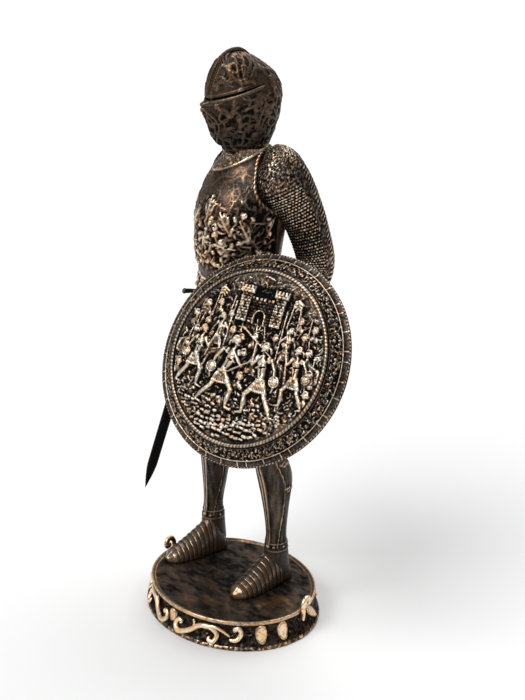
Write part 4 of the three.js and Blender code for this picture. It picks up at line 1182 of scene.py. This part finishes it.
# How a soldier stands: stride, lean, the spear hand and the spear's tip.
RAISED = (0.17, 0.04, (0.27, 0.86), (0.36, 1.2))
LOWERED = (0.21, 0.09, (0.26, 0.62), (0.56, 0.82))
LIFTED = (0.19, 0.05, (0.22, 0.98), (0.5, 1.14))
UPRIGHT = (0.12, 0.0, (0.2, 0.66), (0.22, 1.3))
# Place, height, facing, pose and sweep of the cape, from the back to the front.
SOLDIERS = (
    (-22, -6, 27, 1, UPRIGHT, 0.8), (24, -6, 27, -1, UPRIGHT, 0.8), (-33, -23, 35, 1, RAISED, 1.0),
    (34, -22, 34, -1, RAISED, 1.0), (-12, -31, 41, 1, LOWERED, 1.3), (14, -31, 41, -1, LIFTED, 1.3),
)
# Place, size and facing of the heads behind the soldiers.
CROWD = (
    (-41, -1, 2.3, 1), (-37, 8, 2.2, 1), (-31, 14, 2.1, 1), (-33, 1, 2.3, 1), (-13, 12, 2.1, 1),
    (-27, 3, 2.2, 1), (-6, 9, 2.1, 1), (2, 11, 2.0, -1), (9, 8, 2.1, -1), (15, 13, 2.1, -1),
    (31, 4, 2.3, -1), (38, 9, 2.3, -1), (42, -2, 2.3, -1), (-40, 17, 2.0, 1), (-34, 24, 2.0, 1),
    (-17, 21, 1.9, 1), (33, 17, 2.1, -1), (38, 22, 2.0, -1), (-2, 1, 2.2, 1), (5, -2, 2.3, -1),
    (-8, -5, 2.2, 1), (12, -4, 2.2, -1), (-20, 13, 2.0, 1), (22, 11, 2.0, -1), (-43, -12, 2.2, 1),
    (43, -13, 2.2, -1), (0, -12, 2.3, 1), (28, 25, 1.9, -1), (-26, 26, 1.9, 1),
)
# Place, height and the way each banner flies.
BANNERS = ((-30, 18, 17, 1), (27, 18, 17, -1), (-39, 3, 20, 1), (20, 20, 16, 1))
# The keep: its middle across, how far its towers stand from it, its foot and the gate's arch.
KEEP, TOWER, KEEP_FOOT, ARCH = 1, 11.4, 19, 22.5
DISC, FIELD_BACK = FIELD_RADIUS - 1.2, 6.4


def soldier(patch, x, y, tall, facing, pose, sweep):
    stride, lean, hand, tip = pose
    back_hand = [-0.2, 0.52]
    figure = Figure(patch, x, y, tall, facing)
    figure.cape(sweep)
    figure.leg([-0.62 * stride - 0.01, 0.27], [-1.5 * stride, 0.035], 1.5)
    figure.arm([-0.17, 0.66], back_hand, 1.6)
    figure.round_shield(back_hand, 0.085)
    figure.leg([stride, 0.27], [0.92 * stride, 0.03], 1.8)
    figure.skirt(0.13)
    figure.trunk(lean)
    figure.spear(hand, tip)
    figure.arm([0.2, 0.68], hand, 2.2)
    figure.head(lean)


def crowd_head(patch, x, y, size, facing):
    """A helmeted head and shoulders, in lower relief behind the soldiers."""
    figure = Figure(patch, x, y, size * 17, facing, 34 / (size * 17))
    for pairs, radius, rise in (
        ([[-0.055, -0.13], [0.0, -0.1], [0.06, -0.14]], [0.05, 0.05, 0.035], 0.9),
        ([[0, -0.09], [0, -0.05]], 0.035, 1.0),
        ([[0.003, 0]], 0.046, 1.55),
        ([[-0.02, 0.022], [0.018, 0.02]], 0.038, 1.75),
        ([[-0.05, -0.014], [-0.036, 0.01], [0.052, 0.008]], 0.01, 1.85),
        ([[0.03, 0.06], [0.0, 0.078], [-0.04, 0.062], [-0.064, 0.012]], [0.01, 0.017, 0.017, 0.006], 1.5),
    ):
        figure.put(pairs, radius, rise)


def strokes_over(patch, rng, count, spot, long, radius, rise, lean=(0, TURN), curl=1.2):
    """Many small curved strokes, each at a place that spot gives."""
    for _ in range(count):
        root = spot()
        line = tendril(root, rng.uniform(*lean), rng.uniform(*long), rng.uniform(-curl, curl), 4)
        line = line[np.hypot(line[:, 0], line[:, 1]) < FIELD_RADIUS - 1.4]
        if len(line) > 1:
            width = rng.uniform(*radius) * np.linspace(1, 0.5, len(line))
            patch.stroke(on_shield(line), width, rng.uniform(*rise))


def keep_relief(patch, flat):
    """A keep between two towers, in coursed stone, with battlements and a barred gate."""
    across, up = flat[..., 0] - KEEP, flat[..., 1]
    walls = [(0, KEEP_FOOT, 9.5, 32, 1.2)]
    for side in (-TOWER, TOWER):
        walls += [(side, KEEP_FOOT, 3.23, 35.9, 2.0), (side, 35.25, 4.52, 37.85, 2.5)]
    rough = 0.22 * noise(patch.points, 1.5, 40)
    for middle, base, half, top, rise in walls:
        course = (up - base) / 1.6
        stone = (across - middle) / 2.4 + 0.5 * (np.floor(course) % 2)
        joint = (np.abs(course % 1 - 0.5) > 0.36) | (np.abs(stone % 1 - 0.5) > 0.4)
        inside = (np.abs(across - middle) < half) & (up > base) & (up < top)
        patch.fill(inside, rise - 0.45 * joint + rough)
    patch.fill((np.abs(across) < 9.4) & (up > 32) & (up < 33.8) & ((across / 2.7) % 1 < 0.6), 1.3)
    for side in (-TOWER, TOWER):
        aside = across - side
        patch.fill((np.abs(aside) < 0.7) & (np.abs(up - 28.5) < 2), 0.1)
        crown = (np.abs(aside) < 4.5) & (up >= 37.8) & (up < 39.6)
        patch.fill(crown & ((aside / 2.3 + 0.25) % 1 < 0.55), 2.3)
    gate = ((across / 3.2) ** 2 + (np.clip(up - ARCH, 0, 99) / 3.6) ** 2 < 1) & (up > KEEP_FOOT)
    bars = (across / 1.5 % 1 < 0.3) | (up / 1.7 % 1 < 0.25)
    patch.fill(gate, 0.1 + 0.4 * bars)
    arch = [[KEEP + 3.7 * math.cos(a), ARCH + 4.1 * math.sin(a)] for a in np.linspace(0, math.pi, 12)]
    patch.stroke(on_shield([[KEEP + 3.7, KEEP_FOOT], *arch, [KEEP - 3.7, KEEP_FOOT]]), 0.5, 1.6)
    patch.extra = -0.26 * ((np.abs(across) < 16) & (up > KEEP_FOOT) & (up < 40))


def ground_relief(patch, rng):
    """Cobbles in uneven rows at the foot of the field."""
    for row in range(11):
        level = -24.5 - 2.15 * row
        reach = math.sqrt(max((FIELD_RADIUS - 3) ** 2 - level * level, 0))
        x = -reach
        while x < reach:
            wide = rng.uniform(1.2, 3.4)
            y = level + rng.uniform(-0.6, 0.6) + 0.9 * math.sin(x / 7 + row)
            rise = rng.uniform(0.25, 1.1) + (0.7 if row > 4 and abs(x) < 22 else 0)
            if math.hypot(x + wide, y) < FIELD_RADIUS - 2.7:
                cobble = on_shield([[x, y], [x + 0.6 * wide, y + rng.uniform(-0.5, 0.5)]])
                patch.stroke(cobble, rng.uniform(0.6, 1.15), rise)
            x += wide + rng.uniform(0.5, 1.3)


def field_spot(rng, low, high):
    def spot():
        while True:
            x, y = rng.uniform(-48, 48), rng.uniform(low, high)
            if math.hypot(x, y) < FIELD_RADIUS - 2.1:
                return [x, y]
    return spot


def banner(patch, x, y, tall, way):
    patch.stroke(on_shield([[x, y], [x + 0.08 * way * tall, y + tall]]), 0.36, 1.1)
    for k in range(3):
        top = y + tall * (0.98 - 0.09 * k)
        cloth = [[x + 0.07 * way * tall, top], [x + way * 3.2, top + 0.8], [x + way * (6.5 - k), top - 0.9]]
        patch.stroke(on_shield(cloth), [0.7, 1.0, 0.5], [1.3, 1.5 - 0.3 * k, 0.9])


def crowd_relief(patch, rng):
    """The heads, each with a lance where it stays on the field."""
    for x, y, size, facing in CROWD:
        way = math.pi / 2 - facing * rng.uniform(-0.1, 0.35)
        lance = tendril([x - facing * 2, y - 6], way, 17, 0, 2)
        if math.hypot(*lance[-1]) < FIELD_RADIUS - 3.5:
            patch.stroke(on_shield(lance), 0.34, 0.95)
        crowd_head(patch, x, y, size, facing)


def field_piece():
    """The round field, as a square grid pressed into a disc, with the battle on it."""
    side = np.linspace(-1, 1, steps(270))
    a, b = np.meshgrid(side, side)
    flat = np.stack([a * np.sqrt(1 - b * b / 2), b * np.sqrt(1 - a * a / 2)], -1) * DISC
    points = on_shield(flat)
    patch = Patch(points, closed=False, outward=np.broadcast_to(S_NORMAL, points.shape))
    rng = np.random.default_rng(33)
    sky, crowd = field_spot(rng, 12, 48), field_spot(rng, -42, 26)
    strokes_over(patch, rng, 330, sky, (1.5, 5), (0.3, 0.6), (0.15, 0.55), (-0.5, 0.5), 0.8)
    strokes_over(patch, rng, 900, crowd, (1, 3.2), (0.3, 0.7), (0.2, 0.95))
    ground_relief(patch, rng)
    keep_relief(patch, flat)
    crowd_relief(patch, rng)
    for place in BANNERS:
        banner(patch, *place)
    for place in SOLDIERS:
        soldier(patch, *place)
    patch.relief += grain(points, (0.2, 0.8, 45), (0.16, 2.2, 31))
    patch.extra += 0.03 + 0.08 * noise(points, 9.0, 46)
    patch.relief *= slope(np.hypot(flat[..., 0], flat[..., 1]), DISC, DISC - 0.8)
    edge = np.concatenate([flat[0, :-1], flat[:-1, -1], flat[-1, :0:-1], flat[:0:-1, 0]])
    behind = np.stack([on_shield(edge), on_shield(edge, FIELD_BACK), on_shield(edge * 0.4, FIELD_BACK)])
    parts = [patch.part(0.85, 1.3, low_cap=False, high_cap=False), Patch(behind).part(low_cap=False)]
    build("shield_field", parts, shield_bronze, ["shield"])


# The rim's section from the middle of the back round to the field, as radius and height. A corner on
# the band in front has its radius and how far it stands over the band.
RIM_BACK = [[0.4, 4.8], [12, 4.85], [26, 4.7], [40, 4.9], [49.2, 4.8], [52, 3.55], [56, 1.95],
            [60.4, -0.1], [60.8, 0.1], [61, 0.9], [60.95, 1.4], [60.7, 1.7]]
BAND_CORNERS = [[60.2, 0.75], [59, 0.4], [57.6, 0.3], [57, 0], [54, 0], [51.2, 0]]
RIM_FIELD = [[FIELD_RADIUS, FIELD], [48, FIELD - 0.1], [47.2, FIELD - 1.2]]
ROWS_BETWEEN = (1, 2, 2, 2, 2, 2, 2, 2, 2, 3, 2, 3, 3, 5, 3, 10, 9, 7, 4, 2)
BAND_IN, BAND_OUT, TICKS_IN, TICKS_OUT = 50.8, 57, 57.5, 60.2


def rim_profile():
    """The section's rows, and which of them are in front."""
    band = [[radius, band_height(radius) + over] for radius, over in BAND_CORNERS]
    corners = RIM_BACK + band + RIM_FIELD
    t = [k + np.arange(count) / count for k, count in enumerate(ROWS_BETWEEN)]
    t = np.concatenate([*t, [len(corners) - 1.0]])
    return straight_rows_at(corners, t), t > 10


def band_strokes(rim):
    """Short random strokes all over the band."""
    rng = np.random.default_rng(17)
    for _ in range(1700):
        radius, degrees = rng.uniform(51.5, 56.6), rng.uniform(0, 360)
        line = tendril([0, 0], rng.uniform(0, TURN), rng.uniform(0.5, 1.5), rng.uniform(-2, 2), 3)
        line = on_band(np.clip(radius + line[:, 0], 51.2, 56.8), degrees + line[:, 1] * 1.06)
        rim.stroke(line, [0.36, 0.32, 0.22], rng.uniform(0.15, 0.65))


def rim_piece():
    """The band with its strokes, lines and ticks, the rope ring, the lip, the plain back and the grip."""
    ring, front = rim_profile()
    angle = round_angles(steps(640))
    shape = (len(ring), len(angle))
    circle = np.stack([np.cos(angle), np.sin(angle)], 1)
    points = on_shield(circle[None] * ring[:, None, :1], np.broadcast_to(ring[:, 1:], shape))
    front, radius = np.broadcast_to(front[:, None], shape), np.broadcast_to(ring[:, :1], shape)
    rim = Patch(points, outward=np.where(front[..., None], S_NORMAL, -S_NORMAL) + 0 * points)
    rim.relief = 0.05 * noise(points, 1.5, 61)
    band = front & (radius > BAND_IN) & (radius < BAND_OUT)
    rim.fill(band, -0.15 + 0.2 * noise(points, 0.7, 62))
    band_strokes(rim)
    ticks = front & (radius > TICKS_IN) & (radius < TICKS_OUT)
    tick = np.abs((np.degrees(angle)[None] / 5.4) % 1 - 0.5) > 0.465
    rim.fill(ticks, 0.3 * tick + 0.06 * noise(points, 0.9, 63))
    for line, thick, rise in ((57.15, 0.45, 0.6), (51.1, 0.35, 0.4)):
        rim.stroke(on_band(line, np.linspace(0, 360, 181)), thick, rise)
    away = (radius - FIELD_RADIUS) / 1.05
    rope = front & (np.abs(away) < 1)
    twist = np.sin(angle[None] * 150 + away * 2.2)
    rim.fill(rope, 1.2 * np.sqrt(np.clip(1 - away**2, 0, 1)) * (0.95 + 0.05 * twist))
    rim.extra = np.where(rope, -0.36 + 0.06 * twist, 0)
    lip = front & (radius > TICKS_OUT)
    twist = np.sin(angle[None] * 190 + (radius - 60.7) * 2.0)
    rim.fill(lip, 0.12 * twist * slope(radius, TICKS_OUT, TICKS_OUT + 0.4))
    rim.extra = rim.extra + np.where(lip, 0.12 + 0.16 * twist, 0)
    rim.extra = np.where(ticks, 0.02 + 0.2 * tick, rim.extra) - 0.05 * band
    hoops = hump(radius, 47, 0.7) + hump(radius, 20, 0.7)
    rim.fill(~front & (radius < 58), 0.1 * noise(points, 3.0, 64) + 0.3 * hoops)
    build("shield_rim", [rim.part(0.9, 1.1), *grip_parts()], shield_bronze, ["shield"])


def grip_parts():
    """The bar that the left hand holds, with a post and a plate at each end."""
    def behind(x, z):
        return S_ORIGIN + x * S_RIGHT + GRIP_UP * S_UP + z * S_NORMAL

    bar = [behind(x, GRIP_DEPTH) for x in (-17.6, -9, 0, 9, 17.6)]
    parts = [tube(bar, 2.12, sides=16, count=60).part()]
    for side in (-1, 1):
        post = [behind(side * x, z)
                for x, z in ((16.4, GRIP_DEPTH), (17.4, -8.0), (18.6, -4.5), (19.2, 0), (19.5, 5.4))]
        parts.append(tube(post, [2.1, 2.1, 2.1, 2.2, 2.6], sides=16, count=30).part())
        parts.append(dome(behind(side * 19.5, 4.6), S_RIGHT * 4.2, S_UP * 4.2, -S_NORMAL * 1.4))
    return parts


# Sword. z runs down the blade from the middle of the grip, x across the blade, y through it.

SWORD_X = np.array([0, -math.cos(SWORD_LEAN), math.sin(SWORD_LEAN)])
SWORD_Y = np.array([1.0, 0, 0])
BLADE_START, BLADE_SHOULDER, BLADE_TIP = 12, 125, 141.9
BLADE_HALF, SHOULDER_HALF, BLADE_THICK, FULLER_END = 4.8, 4.13, 1.15, 98
GUARD_HALF, GUARD_AT, GUARD_BEND = 17, 10.3, 2.4
POMMEL_AT, POMMEL = -12.46, 3.6


def on_sword(x, y, z):
    return RIGHT_FIST + BODY + x * SWORD_X + y * SWORD_Y + z * SWORD_DOWN


def blade_part():
    """A tapering blade with a fuller down to FULLER_END and a curved point."""
    z = np.concatenate([np.linspace(BLADE_START - 0.5, BLADE_SHOULDER, steps(60)),
                        np.linspace(BLADE_SHOULDER + 1, BLADE_TIP, steps(24))])
    down = (z - BLADE_START) / (BLADE_SHOULDER - BLADE_START)
    taper = BLADE_HALF - (BLADE_HALF - SHOULDER_HALF) * down
    point = SHOULDER_HALF * (1 - slope(z, BLADE_SHOULDER, BLADE_TIP + 0.1) ** 1.4)
    half = np.maximum(np.where(z < BLADE_SHOULDER, taper, point), 0.05)
    angle = round_angles(48)
    c, s = np.cos(angle), np.sin(angle)
    thick = BLADE_THICK * np.sign(s) * np.abs(s) ** 1.15
    fuller = np.where((z < FULLER_END)[:, None], 1 - 0.42 * np.exp(-((c / 0.24) ** 4))[None], 1)
    depth = np.minimum(1.0, half / 3.0)[:, None] * thick[None] * fuller
    section = on_sword((half[:, None] * c[None])[..., None], depth[..., None], 0)
    blade = Patch(section + z[:, None, None] * SWORD_DOWN)
    blade.extra = 0.2 * (np.abs(c) > 0.96)[None] * np.ones((len(z), 1)) - 0.1
    blade.relief = 0.02 * noise(section, 3.0, 70)
    return blade.part()


def pommel_part():
    lat, lon = np.linspace(-1.5, 1.5, 24), round_angles(40)
    around = np.cos(lon)[:, None] * SWORD_X + 0.8 * np.sin(lon)[:, None] * SWORD_Y
    ball = np.cos(lat)[:, None, None] * around[None] + np.sin(lat)[:, None, None] * SWORD_DOWN
    pommel = Patch(on_sword(0, 0, POMMEL_AT) + POMMEL * ball)
    pommel.relief = 0.12 * np.cos(lon * 8)[None] * np.cos(lat)[:, None]
    return pommel.part()


def sword_piece():
    grip = tube([on_sword(0, 0, z) for z in (-11.2, -6, 0, 6, 10.8)], 2.6, sides=20, count=110)
    share = np.linspace(-1, 1, 15)
    line = [on_sword(GUARD_HALF * q, 0, GUARD_AT + GUARD_BEND * q * q) for q in share]
    flare = 1.5 * (0.85 + 0.35 * np.abs(share) ** 3)
    guard = tube(line, flare, sides=18, count=70, lift=SWORD_Y, wear_and_side_light=0.2)
    parts = [blade_part(), twisted(grip, 9, 0.16, 0.05), guard.part(), pommel_part()]
    for side in (-1, 1):
        end = on_sword(side * 16.4, 0, 12.4)
        parts.append(dome(end, SWORD_Y * 1.8, SWORD_DOWN * 1.8, SWORD_X * side * 1.2))
    build("drawn_sword", parts, sword_dark, ["sword"])


# Plinth. A strand's points are millimetres along the wall, and height.

HALF_WIDTH, HALF_DEPTH = 57.3, 49.0
FOOT_EDGE, WALL_SCALE = 2.6, 52
LONG_SCROLL = [[-8.2, 7.6], [-7.4, 9.2], [-9.4, 9.8], [-11, 6.4], [-7.6, 3.9], [-1, 6.4], [5.5, 11.2],
               [12, 12], [16.6, 8.4], [15, 4.4], [12, 4.6], [12.4, 6.6]]
BRANCH = [[6, 10.6], [13, 13], [19, 11.4], [24.5, 8]]
END_HOOK = [[24, 6.4], [28.4, 6.4], [31.2, 10], [30, 13.6], [27.4, 13], [28, 11.4]]
SMALL_HOOK = [[-2.4, 4.6], [1.4, 9.4], [1.6, 14.6]]
SWAN_NECK = [[-2.7, 9.5], [-3, 13.5], [-4.6, 17.5], [-4.6, 21.6], [-2.4, 24.6], [0.8, 24.5],
             [2.8, 22], [1.8, 19.6]]
SWAN_EYE = [[-0.6, 20], [-0.4, 21.6]]
# The section of the foot and of the rounded rim: how far out from the oval, and height.
FOOT = [[-6, 0], [2.5, 0], [2.8, 0.35], [2.9, 0.9], [2.9, 1.6], [2.7, 2.1], [2.4, 2.4]]
RIM = [[-0.5, 15.9], [-0.15, 16.3], [0, 16.7], [0, 17.3], [-0.05, 17.9], [-0.2, 18.25],
       [-0.5, 18.4], [-1, 18.4], [-1.5, 18.2], [-1.9, 17.7], [-2.2, 17.4], [-3, 17.4]]


def wall_out(z):
    """How far the wall stands out from the rim at a height."""
    share = slope(np.asarray(z, float), FOOT_EDGE, PLINTH_HEIGHT)
    return 3 * (1 - share) ** 1.6 * 0.75 - 2.6 * np.sin(math.pi * share) ** 0.8


def oval(angle, grow, z):
    angle, grow, z = np.broadcast_arrays(np.asarray(angle, float), grow, z)
    return np.stack([(HALF_WIDTH + grow) * np.cos(angle), (HALF_DEPTH + grow) * np.sin(angle), z], -1)


def outward_at(degrees):
    return oval(np.radians(degrees), 1.0, 0) - oval(np.radians(degrees), 0.0, 0)


def on_wall(degrees, along, z, rise):
    angle = np.radians(degrees) + np.asarray(along, float) / WALL_SCALE
    return oval(angle, np.maximum(wall_out(z), -2.0) + rise, np.asarray(z, float))


def strand(degrees, line, thickness, handed=1, out=1.3, wear_and_side_light=0.18):
    """A strand of the scrollwork, laid on the wall. Above the rim's foot it stands outside the oval."""
    line = rows_at(line, np.linspace(0, len(line) - 1, 6 * len(line)))
    over = line[:, 1] > PLINTH_HEIGHT - 1
    stand = np.where(over, min(out, 1) - wall_out(line[:, 1]), out)
    stand = running_mean(stand[:, None], 3, 0, False)[:, 0]
    t = np.linspace(0, 1, len(line))
    size = 0.8 * thickness * (0.6 + 0.5 * np.sin(math.pi * (0.1 + 0.8 * t)))
    points = on_wall(degrees, handed * line[:, 0], line[:, 1], stand)
    made = tube(points, size, sides=14, count=2 * len(line), wear_and_side_light=0.0)
    # The outward face is rubbed lighter as wear; the upward-facing side is lighter as painted top light.
    made.extra = wear_and_side_light + 0.34 * (made.normals @ unit(outward_at(degrees))) + 0.12 * made.normals[..., 2]
    made.relief = 0.06 * noise(made.points, 1.4, 90)
    return made.part()


def boss_part(degrees, z, half_width, half_height, lean=0.0):
    """An oval boss that follows the wall, with a thin raised border."""
    share = np.concatenate([[1.0], np.linspace(1.0, 0.02, 20)])[:, None]
    angle = round_angles(48)[None]
    x, y = half_width * share * np.cos(angle), half_height * share * np.sin(angle)
    c, s = math.cos(lean), math.sin(lean)
    rise = 2.3 * np.sqrt(np.clip(1 - (share * 0.97) ** 2, 0, 1)) + 0.45 * hump(share, 0.93, 0.05)
    rise[0] = -1.4
    points = on_wall(degrees, c * x - s * y, z + s * x + c * y, rise + 0 * angle)
    boss = Patch(points, outward=outward_at(degrees) + 0 * points)
    boss.relief = 0.08 * noise(points, 1.3, 89)
    boss.extra = 0.38 - 0.2 * hump(share, 0.82, 0.05) + 0 * boss.relief
    return boss.part()


def ornament_parts():
    parts = [boss_part(degrees, 9.8, 3.7, 5.9) for degrees in (333.2, 349.5, 153.2, 169.5)]
    parts += [boss_part(degrees, 10.3, 3.1, 3.9) for degrees in (268.5, 88.5)]
    for degrees, handed in ((285, 1), (252, -1), (105, 1), (72, -1)):
        parts.append(strand(degrees, LONG_SCROLL, 2.0, handed))
        if degrees > 180:
            for line, thickness in ((END_HOOK, 1.9), (BRANCH, 1.2), (SMALL_HOOK, 1.0)):
                parts.append(strand(degrees, line, thickness, handed))
    for degrees, neck in ((12, SWAN_NECK), (187, SWAN_NECK + SWAN_EYE)):
        parts.append(strand(degrees, neck, 1.95, out=2, wear_and_side_light=0.3))
        leaf_at = degrees + math.degrees(10.5 / WALL_SCALE)
        parts.append(boss_part(leaf_at, 9.6, 2.9, 8.4, math.radians(52)))
    return parts


def wall_part():
    """The plinth's side: flared foot, hollow pitted wall and rounded rim."""
    wall_z = np.linspace(2.65, 15.4, steps(32))
    profile = np.vstack([FOOT, np.stack([wall_out(wall_z), wall_z], 1), RIM])
    out, height = profile[:, :1], profile[:, 1:]
    wall = Patch(oval(round_angles(steps(600))[None], out, height))
    points, row = wall.points, np.arange(len(profile))[:, None]
    foot, rim = row < len(FOOT), row >= len(profile) - len(RIM)
    wall.relief = grain(points, (0.12, 1.2, 80), (0.12, 3.0, 81))
    wall.fill(foot, grain(points, (0.22, 1.5, 82), (0.12, 0.8, 83)) * slope(height, 0.1, 1.1))
    wall.fill(rim, 0.05 * noise(points, 2.5, 84))
    wall.extra = np.where(rim, 0.12 + 0.16 * (out > -0.6), -0.14)
    wall.extra = np.where(foot, 0.12 + 0.3 * noise(points, 1.1, 85), wall.extra)
    rng = np.random.default_rng(9)
    for _ in range(140):
        root, way, long = [0, rng.uniform(4.5, 14)], rng.uniform(0, TURN), rng.uniform(0.8, 2.6)
        flick = tendril(root, way, long, rng.uniform(-1, 1))
        line = on_wall(rng.uniform(0, 360), flick[:, 0], flick[:, 1], 0)
        wall.stroke(line, [0.25, 0.42, 0.45, 0.35, 0.2], rng.uniform(0.2, 0.5))
    return wall.part(0.9, 1.2, high_cap=False)


def plinth_pieces():
    build("oval_plinth", [wall_part(), *ornament_parts()], plinth_bronze, ["plinth"])
    share = np.linspace(1, 0.004, steps(60))[:, None, None]
    ring = oval(round_angles(steps(180))[None], 0, 0) * 0.956
    ground = Patch(ring * share + UP * PLINTH_HEIGHT, outward=UP)
    ground.relief = grain(ground.points, (0.16, 7.0, 86), (0.09, 2.6, 87), (0.03, 1.1, 88))
    ground.relief[0] = -0.2
    ground.extra = grain(ground.points * [0.5, 1.2, 1], (0.2, 7.0, 91), (0.16, 2.5, 92), (0.1, 1.0, 93))
    build("plinth_top", [ground.part(0.8, 2.5)], floor_bronze, ["plinth"])


torso_piece()
helmet_piece()
arm_pieces()
skirt_piece()
leg_piece("left_leg", LEFT_LEG, 1, (28.3, 15.6, 0), (28.5, -31.9, 0))
leg_piece("right_leg", RIGHT_LEG, -1, (-27.6, 10.1, 0), (-34.8, -34.0, 0))
field_piece()
rim_piece()
sword_piece()
plinth_pieces()

# Paper under the statue, light and camera, in metres.

PAPER_HALF, PAPER_TONE, WORLD_LIGHT = 12, 0.76, 0.26
CAMERA_TURN, CAMERA_YAW, CAMERA_PITCH, CAMERA_ROLL = (math.radians(a) for a in (48, 1.395, 19.578, 1.0))
CAMERA_REACH, CAMERA_HEIGHT, FOCAL_LENGTH = 0.68032, 0.41613, 61.714

scene = bpy.context.scene


def add_object(name, data):
    made = bpy.data.objects.new(name, data)
    scene.collection.objects.link(made)
    return made


def paper_floor():
    paper = bpy.data.materials.new("paper")
    tree = NodeTree(paper)
    tone = (PAPER_TONE, PAPER_TONE, PAPER_TONE, 1)
    tree.plug(tree.shader, {"Base Color": tone, "Roughness": 0.9, "Specular IOR Level": 0.0})
    mesh = bpy.data.meshes.new("floor")
    corners = [(x * PAPER_HALF, y * PAPER_HALF, 0) for x, y in ((-1, -1), (1, -1), (1, 1), (-1, 1))]
    mesh.from_pydata(corners, [], [(0, 1, 2, 3)])
    mesh.materials.append(paper)
    add_object("floor", mesh)


def studio_world():
    scene.world = bpy.data.worlds.new("studio")
    scene.world.use_nodes = True
    light = scene.world.node_tree.nodes["Background"].inputs
    light["Color"].default_value = (1, 1, 1, 1)
    light["Strength"].default_value = WORLD_LIGHT


def matrix_of(right, rise, back, where):
    matrix = np.eye(4)
    matrix[:3] = np.stack([right, rise, back, where], 1)
    return Matrix(matrix.tolist())


def sun(name, way, energy, spread):
    """A sun of some spread in degrees, that shines from a way onto the statue."""
    light = bpy.data.lights.new(name, "SUN")
    light.energy, light.angle = energy, math.radians(spread)
    back = unit(np.array(way, float))
    right = unit(np.cross(UP, back))
    add_object(name, light).matrix_world = matrix_of(right, np.cross(back, right), back, back * 3)


def photo_camera():
    """The photo's camera, looking down on the statue from its left front."""
    forth = np.array([-math.sin(CAMERA_TURN), math.cos(CAMERA_TURN), 0])
    aside = np.array([math.cos(CAMERA_TURN), math.sin(CAMERA_TURN), 0])
    ahead = math.cos(CAMERA_YAW) * forth + math.sin(CAMERA_YAW) * aside
    across = math.cos(CAMERA_YAW) * aside - math.sin(CAMERA_YAW) * forth
    look = math.cos(CAMERA_PITCH) * ahead - math.sin(CAMERA_PITCH) * UP
    over = np.cross(across, look)
    right = math.cos(CAMERA_ROLL) * across + math.sin(CAMERA_ROLL) * over
    rise = math.cos(CAMERA_ROLL) * over - math.sin(CAMERA_ROLL) * across
    lens = bpy.data.cameras.new("camera")
    lens.sensor_fit, lens.sensor_height, lens.lens = "VERTICAL", 36.0, FOCAL_LENGTH
    lens.clip_start, lens.clip_end = 0.01, 60
    scene.camera = add_object("camera", lens)
    eye = -CAMERA_REACH * forth + CAMERA_HEIGHT * UP
    scene.camera.matrix_world = matrix_of(right, rise, -look, eye)


paper_floor()
studio_world()
sun("key", (-0.04, -0.66, 0.75), 2.3, 38)
sun("top", (-0.16, 0.5, 0.85), 2.1, 60)
photo_camera()
scene.view_settings.view_transform = "Standard"
